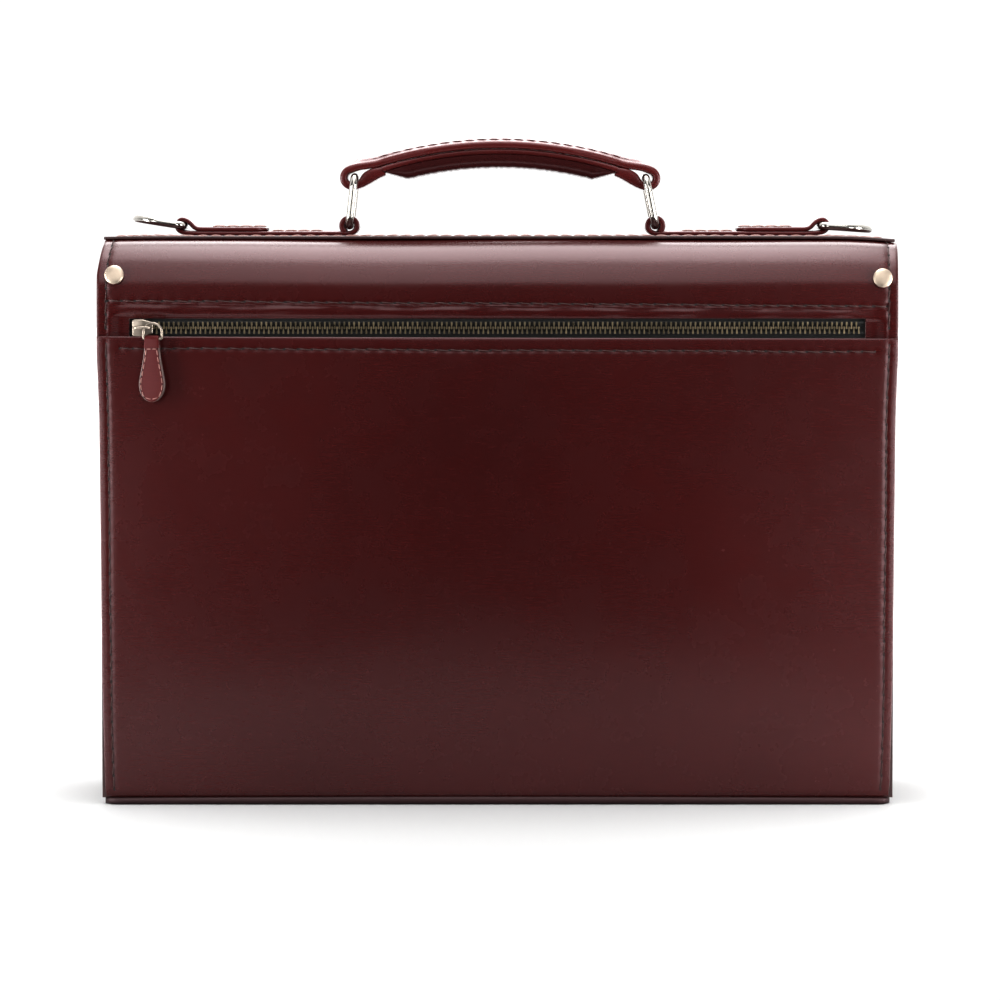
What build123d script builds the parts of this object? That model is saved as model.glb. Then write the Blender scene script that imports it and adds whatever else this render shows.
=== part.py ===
from build123d import *
import os
from math import asin, cos, degrees, radians, sin, sqrt

# Flap-over leather briefcase (satchel bag). Millimetres.
# X runs across the bag, +Y points out of the flap side, +Z is up.
# The origin is the middle of the base, on the surface that the bag stands on.

# ---------------------------------------------------------------- driving dimensions
half_width = 205.0  # body, edge to edge, is 410
base_half_width = 202.0
top_half_width = 202.5  # the cover draws in a little over the rounded edges
body_height = 290.0  # outer face of the top
top_radius = 17.0  # rounded top edges, outer face

cover_leather = 2.5  # one hide makes the back yoke, the top and the flap
pocket_leather = 2.2
wall_leather = 2.0
lining = 0.6
strap_leather = 2.2
base_leather = 3.4
board = 2.0
welt_bottom_height = 12.0

# Where each layer lies, from the back of the bag to its front.
pocket_back_y = -50.0
cover_back_y = pocket_back_y + pocket_leather
cover_inner_y = cover_back_y + cover_leather
back_wall_y = -41.5
back_inner_y = back_wall_y + wall_leather
front_inner_y = 37.0
front_wall_y = front_inner_y + wall_leather
front_pocket_inner_y = 47.0
front_pocket_y = front_pocket_inner_y + pocket_leather
flap_inner_y = 50.8
flap_leather_y = flap_inner_y + lining
flap_outer_y = flap_leather_y + cover_leather

# The gussets stand inboard of the panel edges, with flanges turned outwards.
gusset_x = 194.0
gusset_inner_x = gusset_x - wall_leather
flange_x = 204.0
gusset_back_top = 276.0
gusset_front_top = 262.0
front_wall_top = 262.0
back_wall_top = 272.0
divider_top = 246.0
divider_pocket_half_width = 95.0
divider_pocket_bottom = 70.0
divider_pocket_top = 200.0
divider_pocket_leather = 1.4
front_pocket_top = 168.0

# Zip pocket on the back.
pocket_top = 241.0
pocket_taper_top = 24.0  # the panel draws in a little below this
yoke_bottom = 230.0
window_half_length = 188.5
window_bottom = 240.5
window_top = 250.4
zip_z = 245.7
chain_height = 6.3
tooth_pitch = 2.5
tooth_width = 1.15
tooth_length = 3.9
bead = 0.6
tape_thickness = 0.6
teeth_front_y = -46.1
teeth_thickness = 2.0
teeth_start_x = -181.0
teeth_count = 147
slider_start_x = -187.0
slider_length = 10.6
slider_height = 8.8

# Corner rivets.
rivet_x = 197.3
rivet_z = 272.0
rivet_cap = 5.0
rivet_cap_depth = 1.4
rivet_post = 1.5
rivet_washer = 3.0
rivet_washer_depth = 1.0
fit_gap = 0.05  # radial clearance round a pin

# Strip, straps and rings on the top. They sit slightly to the right of centre.
hardware_x = 2.5
hardware_y = 2.0
strip_leather = 2.6
strip_half_length = 203.0
strip_half_width = 29.0
strip_top = body_height + strip_leather
strap_half_width = 9.0
wire = 4.0
ring_pitch = 25.5  # centre to centre of a ring's two end bars
ring_inner_width = 22.0
ring_corner = 5.0
loop_radius = 5.3
loop_hole = 2.4
ring_base_x = 79.8
d_ring_x = 166.5
pivot_z = strip_top + loop_radius
left_lean = 6.4
right_lean = 11.4
left_d_tilt = 9.0
right_d_tilt = -4.0

# Handle.
handle_arc = 210.0  # outer face of the top strap
handle_rise = 18.9  # strap's outer face above the pivot line, mid-handle
handle_half_width = 12.0
handle_end_half_width = 9.5
handle_strap_thickness = 3.8
handle_liner_thickness = 3.2
grip_depth = 7.1
grip_half_length = 60.0
grip_flat_half_length = 49.5
loop_slot_length = 9.8
loop_slot_height = 5.4
loop_wall = 3.5

# Lock.
lock_z = 115.0
lock_plate_half_width = 17.0
lock_plate_half_height = 16.0
plate_metal = 0.8
lock_rivet = 1.0
lock_rivet_x = 28.0
lock_rivet_z = 25.0
nose_half_width = 11.0
nose_top = 123.0
nose_base_bottom = 103.0
nose_front_bottom = 107.3
nose_depth = 7.5
nose_wall = 1.2
plate_corner = 3.0
lock_rivet_head = 1.9
lock_rivet_head_depth = 0.3
latch_half_width = 8.5
latch_bottom = 120.0
latch_top = 121.6
latch_back = 2.0  # behind the latch, from the pocket's face
latch_front = 4.6
spring_thickness = 0.4
button_stem = 2.0
button_stem_length = 2.4
button_proud = 2.2
button_round = 0.5
key_proud = 0.6
key_tail = 3.0
keyway_width = 1.2
keyway_height = 4.4
keyway_depth = 4.0

os.makedirs("parts", exist_ok=True)


# ---------------------------------------------------------------- shared helpers
def save(piece, node):
    piece.part.label = node
    export_step(piece.part, f"parts/{node}.step")


def upright(y):
    """Plane facing the back at depth y: local x is X, local y is Z."""
    return Plane.XZ.offset(-y)


def slab(low, high):
    """Flat rectangular layer between two corners, as a part in builder mode."""
    with BuildPart() as piece:
        with BuildSketch(Plane.XY.offset(low[2])):
            with Locations(((low[0] + high[0]) / 2, (low[1] + high[1]) / 2)):
                Rectangle(high[0] - low[0], high[1] - low[1])
        extrude(amount=high[2] - low[2])
    return piece


# ================================================================ case
# ---------------------------------------------------------------- base
with BuildPart() as bottom_panel:
    with BuildSketch():
        with Locations((0, (pocket_back_y + front_pocket_y) / 2)):
            RectangleRounded(2 * base_half_width, front_pocket_y - pocket_back_y, 6)
    extrude(amount=base_leather)
    fillet(bottom_panel.faces().sort_by(Axis.Z)[0].edges(), 1.2)
save(bottom_panel, "bottom_panel")

base_board = slab(
    (-gusset_inner_x, back_inner_y, base_leather),
    (gusset_inner_x, front_inner_y, base_leather + board),
)
save(base_board, "base_board")

# ---------------------------------------------------------------- back wall
rivet_places = [(-rivet_x, rivet_z), (rivet_x, rivet_z)]

with BuildPart() as back_panel:
    with BuildSketch(upright(back_inner_y)):
        with Locations((0, (base_leather + back_wall_top) / 2)):
            Rectangle(2 * flange_x, back_wall_top - base_leather)
        with Locations(*rivet_places):
            Circle(rivet_post + fit_gap, mode=Mode.SUBTRACT)
    extrude(amount=wall_leather)
save(back_panel, "back_panel")

back_lining = slab(
    (-gusset_inner_x, back_inner_y, base_leather + board),
    (gusset_inner_x, back_inner_y + lining, back_wall_top - 8),
)
save(back_lining, "back_lining")

# ---------------------------------------------------------------- zip pocket on the back
with BuildPart() as pocket_panel:
    with BuildSketch(upright(cover_back_y)):
        with BuildLine():
            Polyline(
                (-base_half_width, base_leather),
                (base_half_width, base_leather),
                (half_width, pocket_taper_top),
                (half_width, pocket_top),
                (-half_width, pocket_top),
                (-half_width, pocket_taper_top),
                close=True,
            )
        make_face()
    extrude(amount=pocket_leather)
save(pocket_panel, "pocket_panel")

# A welt fills the pocket's edge on three sides. It steps back under the yoke.
top_start = body_height - top_radius
welt_height = top_start - base_leather
welt_middle = (base_leather + top_start) / 2
with BuildPart() as pocket_welts:
    with BuildSketch(upright(back_wall_y)):
        with Locations((0, welt_middle)):
            Rectangle(2 * flange_x, welt_height)
        with Locations((0, welt_middle + welt_bottom_height)):
            Rectangle(2 * gusset_inner_x, welt_height, mode=Mode.SUBTRACT)
        with Locations(*rivet_places):
            Circle(rivet_post + fit_gap, mode=Mode.SUBTRACT)
    extrude(amount=back_wall_y - cover_back_y)
    with BuildSketch(upright(cover_inner_y)):
        with Locations((0, (yoke_bottom + body_height) / 2)):
            Rectangle(2 * half_width, body_height - yoke_bottom)
    extrude(amount=cover_leather, mode=Mode.SUBTRACT)
save(pocket_welts, "pocket_welts")

# The back yoke is the end of the cover hide. The zip shows through its window.
back_arc_y = cover_back_y + top_radius
front_arc_y = flap_outer_y - top_radius
hinge_angle = 30.0  # where the cover bends, above the horizontal
bend_gap_angle = 0.8
inner_radius = top_radius - cover_leather


def on_arc(centre_y, radius, angle):
    """Point on a rounded top edge: angle 0 points at +Y, 90 straight up."""
    return (
        centre_y + radius * cos(radians(angle)),
        top_start + radius * sin(radians(angle)),
    )


with BuildPart() as cover_back:
    with BuildSketch(Plane.YZ):
        with BuildLine():
            Line((cover_back_y, yoke_bottom), (cover_back_y, top_start))
            CenterArc((back_arc_y, top_start), top_radius, 180, -hinge_angle)
            Line(
                on_arc(back_arc_y, top_radius, 180 - hinge_angle),
                on_arc(back_arc_y, inner_radius, 180 - hinge_angle),
            )
            CenterArc((back_arc_y, top_start), inner_radius, 180 - hinge_angle, hinge_angle)
            Line((cover_inner_y, top_start), (cover_inner_y, yoke_bottom))
            Line((cover_inner_y, yoke_bottom), (cover_back_y, yoke_bottom))
        make_face()
    extrude(amount=half_width, both=True)
    with BuildSketch(upright(cover_inner_y)):
        with Locations((0, (window_bottom + window_top) / 2)):
            Rectangle(2 * window_half_length, window_top - window_bottom)
        with Locations(*rivet_places):
            Circle(rivet_post + fit_gap)
    extrude(amount=cover_leather, mode=Mode.SUBTRACT)
save(cover_back, "cover_back")

# ---------------------------------------------------------------- zip
chain_top = zip_z + chain_height / 2
chain_bottom = zip_z - chain_height / 2
tape_half_length = gusset_inner_x - 1

zip_tape_upper = slab(
    (-tape_half_length, cover_inner_y, chain_top + bead),
    (tape_half_length, cover_inner_y + tape_thickness, chain_top + 13),
)
save(zip_tape_upper, "zip_tape_upper")

# The lower tape is sewn between the yoke's margin and the pocket's edge.
zip_tape_lower = slab(
    (-tape_half_length, cover_inner_y, chain_bottom - 13),
    (tape_half_length, cover_inner_y + tape_thickness, chain_bottom - bead),
)
save(zip_tape_lower, "zip_tape_lower")


def teeth_row(side, first_x):
    """One row of teeth on its bead: side is +1 for the upper row, -1 for the lower."""
    root = zip_z + side * chain_height / 2
    back = root + side * bead
    tip = root - side * tooth_length
    points = [(first_x - tooth_pitch, back), (first_x - tooth_pitch, root)]
    for index in range(teeth_count):
        x = first_x + index * tooth_pitch
        points += [
            (x - tooth_width / 2, root),
            (x - tooth_width / 2, tip),
            (x + tooth_width / 2, tip),
            (x + tooth_width / 2, root),
        ]
    last_x = first_x + teeth_count * tooth_pitch
    points += [(last_x, root), (last_x, back)]
    with BuildPart() as row:
        with BuildSketch(upright(teeth_front_y + teeth_thickness)):
            with BuildLine():
                Polyline(*points, close=True)
            make_face()
        extrude(amount=teeth_thickness)
    return row


zip_teeth_upper = teeth_row(1, teeth_start_x)
save(zip_teeth_upper, "zip_teeth_upper")
zip_teeth_lower = teeth_row(-1, teeth_start_x + tooth_pitch / 2)
save(zip_teeth_lower, "zip_teeth_lower")

# Two top stops end the chain on the left and one bottom stop on the right.
stop_width = 1.8
stop_height = 3.0
stop_x = window_half_length + 1.2
stop_depth = teeth_front_y + teeth_thickness - cover_inner_y
with BuildPart() as zip_stops:
    with BuildSketch(upright(teeth_front_y + teeth_thickness)):
        with Locations((-stop_x, zip_z + 2.2), (-stop_x, zip_z - 2.2)):
            Rectangle(stop_width, stop_height)
        with Locations((stop_x, zip_z)):
            Rectangle(stop_width, chain_height)
    extrude(amount=stop_depth)
save(zip_stops, "zip_stops")

# ---------------------------------------------------------------- gussets
flange_back_y = back_inner_y + wall_leather
flange_front_y = front_inner_y - wall_leather


def gusset(side):
    """U-shaped end wall with its flanges turned outwards; side is -1 or +1."""
    with BuildPart() as wall:
        with BuildSketch(Plane.XY.offset(base_leather)):
            with BuildLine():
                Polyline(
                    (side * gusset_inner_x, back_inner_y),
                    (side * flange_x, back_inner_y),
                    (side * flange_x, flange_back_y),
                    (side * gusset_x, flange_back_y),
                    (side * gusset_x, flange_front_y),
                    (side * flange_x, flange_front_y),
                    (side * flange_x, front_inner_y),
                    (side * gusset_inner_x, front_inner_y),
                    close=True,
                )
            make_face()
        extrude(amount=gusset_back_top - base_leather)
        with BuildSketch(Plane.YZ.offset(side * (gusset_inner_x + flange_x) / 2)):
            with BuildLine():
                Polyline(
                    (flange_back_y + 8, gusset_back_top + 1),
                    (flange_front_y - 10, gusset_front_top),
                    (front_inner_y + 1, gusset_front_top),
                    (front_inner_y + 1, gusset_back_top + 1),
                    close=True,
                )
            make_face()
        extrude(amount=flange_x - gusset_inner_x, both=True, mode=Mode.SUBTRACT)
        with BuildSketch(upright(flange_back_y)):
            with Locations((side * rivet_x, rivet_z)):
                Circle(rivet_post + fit_gap)
        extrude(amount=wall_leather, mode=Mode.SUBTRACT)
    return wall


for side, name in ((-1, "gusset_left"), (1, "gusset_right")):
    save(gusset(side), name)

# ---------------------------------------------------------------- front wall and divider
with BuildPart() as front_panel:
    with BuildSketch(upright(front_wall_y)):
        with Locations((0, (base_leather + front_wall_top) / 2)):
            Rectangle(2 * flange_x, front_wall_top - base_leather)
    extrude(amount=wall_leather)
save(front_panel, "front_panel")

front_lining = slab(
    (-gusset_inner_x, front_inner_y - lining, base_leather + board),
    (gusset_inner_x, front_inner_y, front_wall_top - 6),
)
save(front_lining, "front_lining")

divider = slab(
    (-gusset_inner_x, -wall_leather / 2, base_leather + board),
    (gusset_inner_x, wall_leather / 2, divider_top),
)
save(divider, "divider")

divider_pocket = slab(
    (-divider_pocket_half_width, wall_leather / 2, divider_pocket_bottom),
    (divider_pocket_half_width, wall_leather / 2 + divider_pocket_leather, divider_pocket_top),
)
save(divider_pocket, "divider_pocket")

# ---------------------------------------------------------------- front pocket, under the flap
front_pocket_height = front_pocket_top - base_leather
front_pocket_middle = (base_leather + front_pocket_top) / 2
with BuildPart() as front_pocket_panel:
    with BuildSketch(upright(front_pocket_y)):
        with Locations((0, front_pocket_middle)):
            Rectangle(2 * flange_x, front_pocket_height)
        with Locations((0, lock_z)):
            with GridLocations(lock_rivet_x, lock_rivet_z, 2, 2):
                Circle(lock_rivet + fit_gap, mode=Mode.SUBTRACT)
    extrude(amount=pocket_leather)
save(front_pocket_panel, "front_pocket_panel")

with BuildPart() as front_pocket_welts:
    with BuildSketch(upright(front_pocket_inner_y)):
        with Locations((0, front_pocket_middle)):
            Rectangle(2 * flange_x, front_pocket_height)
        with Locations((0, front_pocket_middle + welt_bottom_height)):
            Rectangle(2 * gusset_x, front_pocket_height, mode=Mode.SUBTRACT)
    extrude(amount=front_pocket_inner_y - front_wall_y)
save(front_pocket_welts, "front_pocket_welts")

# ---------------------------------------------------------------- corner rivets
with BuildPart() as corner_rivets:
    with BuildSketch(upright(cover_back_y)):
        with Locations(*rivet_places):
            Circle(rivet_cap)
    extrude(amount=rivet_cap_depth)
    fillet(corner_rivets.faces().group_by(Axis.Y)[0].edges(), 1.1)
    with BuildSketch(upright(flange_back_y)):
        with Locations(*rivet_places):
            Circle(rivet_post)
    extrude(amount=flange_back_y - cover_back_y)
    with BuildSketch(upright(flange_back_y + rivet_washer_depth)):
        with Locations(*rivet_places):
            Circle(rivet_washer)
    extrude(amount=rivet_washer_depth)
save(corner_rivets, "corner_rivets")

# ---------------------------------------------------------------- lock, on the front pocket
plate_y = front_pocket_y + plate_metal
nose_y = plate_y + nose_depth
button_x = -4.75
key_x = 4.75
button_radius = 3.4
collar_radius = 4.3
collar_y = nose_y - nose_wall
collar_depth = 1.3

with BuildPart() as lock_base:
    with BuildSketch(upright(plate_y)):
        with Locations((0, lock_z)):
            RectangleRounded(2 * lock_plate_half_width, 2 * lock_plate_half_height, plate_corner)
            with GridLocations(lock_rivet_x, lock_rivet_z, 2, 2):
                Circle(lock_rivet + fit_gap, mode=Mode.SUBTRACT)
    extrude(amount=plate_metal)
    with BuildSketch(Plane.YZ.offset(-nose_half_width)):
        with BuildLine():
            Polyline(
                (plate_y, nose_base_bottom),
                (nose_y, nose_front_bottom),
                (nose_y, nose_top),
                (plate_y, nose_top),
                close=True,
            )
        make_face()
    extrude(amount=2 * nose_half_width)
    with BuildSketch(upright(collar_y)):
        with Locations((0, (nose_top + nose_front_bottom) / 2)):
            Rectangle(2 * (nose_half_width - nose_wall), nose_top - nose_front_bottom - 2 * nose_wall)
    extrude(amount=collar_y - front_pocket_y, mode=Mode.SUBTRACT)
    with BuildSketch(upright(nose_y)):
        with Locations((button_x, lock_z), (key_x, lock_z)):
            Circle(button_radius + fit_gap)
    extrude(amount=nose_wall, mode=Mode.SUBTRACT)
save(lock_base, "lock_base")

with BuildPart() as lock_backplate:
    with BuildSketch(upright(front_pocket_inner_y)):
        with Locations((0, lock_z)):
            Rectangle(2 * lock_plate_half_width, 2 * lock_plate_half_height)
            with GridLocations(lock_rivet_x, lock_rivet_z, 2, 2):
                Circle(lock_rivet + fit_gap, mode=Mode.SUBTRACT)
    extrude(amount=plate_metal)
save(lock_backplate, "lock_backplate")

with BuildPart() as lock_rivets:
    with BuildSketch(upright(plate_y)):
        with Locations((0, lock_z)):
            with GridLocations(lock_rivet_x, lock_rivet_z, 2, 2):
                Circle(lock_rivet)
    extrude(amount=plate_y - front_pocket_inner_y + plate_metal)
    with BuildSketch(upright(plate_y + lock_rivet_head_depth)):
        with Locations((0, lock_z)):
            with GridLocations(lock_rivet_x, lock_rivet_z, 2, 2):
                Circle(lock_rivet_head)
    extrude(amount=lock_rivet_head_depth)
save(lock_rivets, "lock_rivets")

# The latch is drawn back, as it is with the key turned to open.
lock_latch = slab(
    (-latch_half_width, front_pocket_y + latch_back, latch_bottom),
    (latch_half_width, front_pocket_y + latch_front, latch_top),
)
save(lock_latch, "lock_latch")

spring_half_length = 4.25
spring_half_height = 1.5
lock_leaf_spring = slab(
    (button_x - spring_half_length, front_pocket_y, lock_z - spring_half_height),
    (button_x + spring_half_length, front_pocket_y + spring_thickness, lock_z + spring_half_height),
)
save(lock_leaf_spring, "lock_leaf_spring")

with BuildPart() as lock_button:
    with BuildSketch(upright(nose_y + button_proud)):
        with Locations((button_x, lock_z)):
            Circle(button_radius)
    extrude(amount=nose_wall + button_proud)
    fillet(lock_button.faces().sort_by(Axis.Y)[-1].edges(), button_round)
    with BuildSketch(upright(collar_y)):
        with Locations((button_x, lock_z)):
            Circle(collar_radius)
    extrude(amount=collar_depth)
    with BuildSketch(upright(collar_y - collar_depth)):
        with Locations((button_x, lock_z)):
            Circle(button_stem)
    extrude(amount=button_stem_length)
save(lock_button, "lock_button")

with BuildPart() as key_cylinder:
    with BuildSketch(upright(nose_y + key_proud)):
        with Locations((key_x, lock_z)):
            Circle(button_radius)
    extrude(amount=nose_wall + key_proud)
    with BuildSketch(upright(collar_y)):
        with Locations((key_x, lock_z)):
            Circle(collar_radius)
    extrude(amount=collar_depth)
    with BuildSketch(upright(collar_y - collar_depth)):
        with Locations((key_x, lock_z)):
            Circle(button_radius)
    extrude(amount=key_tail)
    with BuildSketch(upright(nose_y + key_proud)):
        with Locations((key_x, lock_z)):
            Rectangle(keyway_width, keyway_height)
    extrude(amount=keyway_depth, mode=Mode.SUBTRACT)
save(key_cylinder, "key_cylinder")

# ================================================================ zip slider and pull
slider_front_y = -49.6
slider_front_plate = 3.2
slider_back_y = -43.7
slider_back_plate = 1.2
slider_shoulder = 5.6
slider_taper = 1.4
slider_end_x = slider_start_x + slider_length
pull_y = -52.4
pull_wire = 1.4
bridge_z = zip_z + 0.2
bridge_front_y = -55.0
bridge_bar = 1.3
bridge_foot = 1.2
bridge_height = 1.6
bridge_start_x = slider_start_x + 0.6

with BuildPart() as zip_slider:
    for front_y, depth in ((slider_front_y, slider_front_plate), (slider_back_y, slider_back_plate)):
        with BuildSketch(upright(front_y + depth)):
            with BuildLine():
                Polyline(
                    (slider_start_x, zip_z - slider_height / 2),
                    (slider_start_x + slider_shoulder, zip_z - slider_height / 2),
                    (slider_end_x, zip_z - slider_height / 2 + slider_taper),
                    (slider_end_x, zip_z + slider_height / 2 - slider_taper),
                    (slider_start_x + slider_shoulder, zip_z + slider_height / 2),
                    (slider_start_x, zip_z + slider_height / 2),
                    close=True,
                )
            make_face()
        extrude(amount=depth)
    with BuildSketch(upright(slider_back_y)):
        with BuildLine():
            Polyline(
                (slider_start_x + 0.6, zip_z),
                (slider_start_x + 1.6, zip_z - 1.6),
                (slider_start_x + 3.6, zip_z),
                (slider_start_x + 1.6, zip_z + 1.6),
                close=True,
            )
        make_face()
    extrude(amount=slider_back_y - slider_front_y - slider_front_plate)
    with BuildSketch(Plane.XY.offset(bridge_z - bridge_height / 2)):
        with BuildLine():
            Polyline(
                (bridge_start_x, slider_front_y),
                (bridge_start_x, bridge_front_y),
                (slider_end_x, bridge_front_y),
                (slider_end_x, slider_front_y),
                (slider_end_x - bridge_foot, slider_front_y),
                (slider_end_x - bridge_foot, bridge_front_y + bridge_bar),
                (bridge_start_x + bridge_foot, bridge_front_y + bridge_bar),
                (bridge_start_x + bridge_foot, slider_front_y),
                close=True,
            )
        make_face()
    extrude(amount=bridge_height)
save(zip_slider, "zip_slider")

# The pull is a D-shaped wire ring. Its straight bar holds the leather fob.
pull_centre_x = -176.2
pull_half_width = 4.7
pull_bar_z = 240.2
pull_arc_z = 243.5
with BuildPart() as zip_pull_ring:
    with BuildLine(upright(pull_y)) as pull_path:
        ring_arc = CenterArc((pull_centre_x, pull_arc_z), pull_half_width, 0, 180)
        FilletPolyline(
            ring_arc @ 1,
            (pull_centre_x - pull_half_width, pull_bar_z),
            (pull_centre_x + pull_half_width, pull_bar_z),
            ring_arc @ 0,
            radius=1.0,
        )
    with BuildSketch(Plane(origin=pull_path.line @ 0, z_dir=pull_path.line % 0)):
        Circle(pull_wire / 2)
    sweep()
save(zip_pull_ring, "zip_pull_ring")

fob_loop_radius = 2.0
fob_length = 36.0
fob_top_half = 4.1
fob_half = 7.2
fob_thickness = 2.6
fob_back_y = pull_y + fob_thickness / 2
with BuildPart() as zip_fob:
    with BuildSketch(Plane.YZ.offset(pull_centre_x)):
        with Locations((pull_y, pull_bar_z)):
            Circle(fob_loop_radius)
        with Locations((pull_y, pull_bar_z - fob_length / 2)):
            Rectangle(fob_thickness, fob_length)
        with Locations((pull_y, pull_bar_z)):
            Circle(pull_wire / 2 + 0.15, mode=Mode.SUBTRACT)
    extrude(amount=fob_half, both=True)
    with BuildSketch(upright(pull_y + 3)):
        with BuildLine():
            right_side = Spline(
                (pull_centre_x + fob_top_half - 0.6, pull_bar_z - 6),
                (pull_centre_x + 5.4, pull_bar_z - 16),
                (pull_centre_x + fob_half, pull_bar_z - 27),
                (pull_centre_x, pull_bar_z - fob_length),
                (pull_centre_x - fob_half, pull_bar_z - 27),
                (pull_centre_x - 5.4, pull_bar_z - 16),
                (pull_centre_x - fob_top_half + 0.6, pull_bar_z - 6),
            )
            Polyline(
                right_side @ 1,
                (pull_centre_x - fob_top_half + 0.8, pull_bar_z + 3),
                (pull_centre_x + fob_top_half - 0.8, pull_bar_z + 3),
                right_side @ 0,
            )
        make_face()
    extrude(amount=6, mode=Mode.INTERSECT)
save(zip_fob, "zip_fob")

# ================================================================ lid: top of the cover, strip, straps
with BuildPart() as cover_top:
    with BuildSketch(Plane.YZ):
        with BuildLine():
            start = 180 - hinge_angle - bend_gap_angle
            end = hinge_angle + bend_gap_angle
            CenterArc((back_arc_y, top_start), top_radius, start, 90 - start)
            Line((back_arc_y, body_height), (front_arc_y, body_height))
            CenterArc((front_arc_y, top_start), top_radius, 90, end - 90)
            Line(
                on_arc(front_arc_y, top_radius, end),
                on_arc(front_arc_y, inner_radius, end),
            )
            CenterArc((front_arc_y, top_start), inner_radius, end, 90 - end)
            Line(
                (front_arc_y, body_height - cover_leather),
                (back_arc_y, body_height - cover_leather),
            )
            CenterArc((back_arc_y, top_start), inner_radius, 90, start - 90)
            Line(
                on_arc(back_arc_y, inner_radius, start),
                on_arc(back_arc_y, top_radius, start),
            )
        make_face()
    extrude(amount=half_width, both=True)
    with BuildSketch(upright(flap_outer_y + 1)):
        with BuildLine():
            Polyline(
                (-half_width, top_start - 1),
                (half_width, top_start - 1),
                (half_width, top_start + 9),
                (top_half_width, body_height + 1),
                (-top_half_width, body_height + 1),
                (-half_width, top_start + 9),
                close=True,
            )
        make_face()
    extrude(amount=flap_outer_y - cover_back_y + 2, mode=Mode.INTERSECT)
save(cover_top, "cover_top")

top_strip = slab(
    (-strip_half_length, hardware_y - strip_half_width, body_height),
    (strip_half_length, hardware_y + strip_half_width, strip_top),
)
save(top_strip, "top_strip")

top_stiffener = slab(
    (-190, hardware_y - 24, body_height - cover_leather - 1.6),
    (190, hardware_y + 24, body_height - cover_leather),
)
save(top_stiffener, "top_stiffener")

doubling = 44.0  # the outer end's return layer


def top_strap(side):
    """Strap on the strip, looped round the handle ring and the D-ring."""
    inner_x = hardware_x + side * ring_base_x
    outer_x = hardware_x + side * d_ring_x
    with BuildPart() as strap:
        with BuildSketch(upright(hardware_y + strap_half_width)):
            with Locations(((inner_x + outer_x) / 2, strip_top + strap_leather / 2)):
                Rectangle(abs(outer_x - inner_x), strap_leather)
            with Locations((outer_x - side * doubling / 2, strip_top + 1.5 * strap_leather)):
                Rectangle(doubling, strap_leather)
            with Locations((inner_x, pivot_z), (outer_x, pivot_z)):
                Circle(loop_radius)
                Circle(loop_hole, mode=Mode.SUBTRACT)
        extrude(amount=2 * strap_half_width)
    return strap


for side, name in ((-1, "strap_left"), (1, "strap_right")):
    save(top_strap(side), name)

# ================================================================ rings
ring_half_width = (ring_inner_width + wire) / 2


def ring_plane(x, direction):
    """Plane of a ring whose lower bar lies along Y at x; direction runs along its sides."""
    side = Vector(0, 1, 0)
    along = Vector(direction[0], 0, direction[1]).normalized()
    return Plane(origin=(x, hardware_y, pivot_z), x_dir=side, z_dir=side.cross(along))


def lean(angle):
    """Unit direction leaning from +Z towards +X by the angle."""
    return (sin(radians(angle)), cos(radians(angle)))


def handle_ring(x, angle):
    with BuildPart() as ring:
        with BuildLine(ring_plane(x, lean(angle))) as path:
            FilletPolyline(
                (ring_half_width, 0),
                (ring_half_width, ring_pitch),
                (-ring_half_width, ring_pitch),
                (-ring_half_width, 0),
                radius=ring_corner,
                close=True,
            )
        with BuildSketch(Plane(origin=path.line @ 0, z_dir=path.line % 0)):
            Circle(wire / 2)
        sweep()
    return ring


def d_ring(x, direction):
    straight = ring_pitch - ring_half_width
    with BuildPart() as ring:
        with BuildLine(ring_plane(x, direction)) as path:
            bow = CenterArc((0, straight), ring_half_width, 0, 180)
            FilletPolyline(
                bow @ 1,
                (-ring_half_width, 0),
                (ring_half_width, 0),
                bow @ 0,
                radius=ring_corner,
            )
        with BuildSketch(Plane(origin=path.line @ 0, z_dir=path.line % 0)):
            Circle(wire / 2)
        sweep()
    return ring


left_ring_x = hardware_x - ring_base_x
right_ring_x = hardware_x + ring_base_x
save(handle_ring(left_ring_x, left_lean), "handle_ring_left")
save(handle_ring(right_ring_x, -right_lean), "handle_ring_right")
save(d_ring(hardware_x - d_ring_x, lean(-90 + left_d_tilt)), "d_ring_left")
save(d_ring(hardware_x + d_ring_x, lean(90 - right_d_tilt)), "d_ring_right")

# ================================================================ handle
left_pivot = Vector(
    left_ring_x + ring_pitch * sin(radians(left_lean)),
    hardware_y,
    pivot_z + ring_pitch * cos(radians(left_lean)),
)
right_pivot = Vector(
    right_ring_x - ring_pitch * sin(radians(right_lean)),
    hardware_y,
    pivot_z + ring_pitch * cos(radians(right_lean)),
)
handle_span = (right_pivot - left_pivot).length
handle_centre = (left_pivot + right_pivot) * 0.5
handle_plane = Plane(
    origin=handle_centre,
    x_dir=(right_pivot - left_pivot).normalized(),
    z_dir=(0, -1, 0),
)
arc_centre_w = handle_rise - handle_arc
strap_inner_arc = handle_arc - handle_strap_thickness
liner_inner_arc = strap_inner_arc - handle_liner_thickness
grip_inner_arc = liner_inner_arc - grip_depth
end_angle = degrees(asin(handle_span / 2 / handle_arc))


def arc_band(outer, inner, start, size):
    """Face between two arcs about the handle's centre of curvature, angles from +w."""
    first = radians(90 - start)
    last = radians(90 - start - size)
    with BuildLine() as band:
        CenterArc((0, arc_centre_w), outer, 90 - start, -size)
        Line(
            (outer * cos(last), arc_centre_w + outer * sin(last)),
            (inner * cos(last), arc_centre_w + inner * sin(last)),
        )
        CenterArc((0, arc_centre_w), inner, 90 - start - size, size)
        Line(
            (inner * cos(first), arc_centre_w + inner * sin(first)),
            (outer * cos(first), arc_centre_w + outer * sin(first)),
        )
    make_face(band.edges())


liner_angle = degrees(asin(grip_half_length / liner_inner_arc))
return_gap_angle = 0.25
slot_rotation = 14.0

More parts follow.
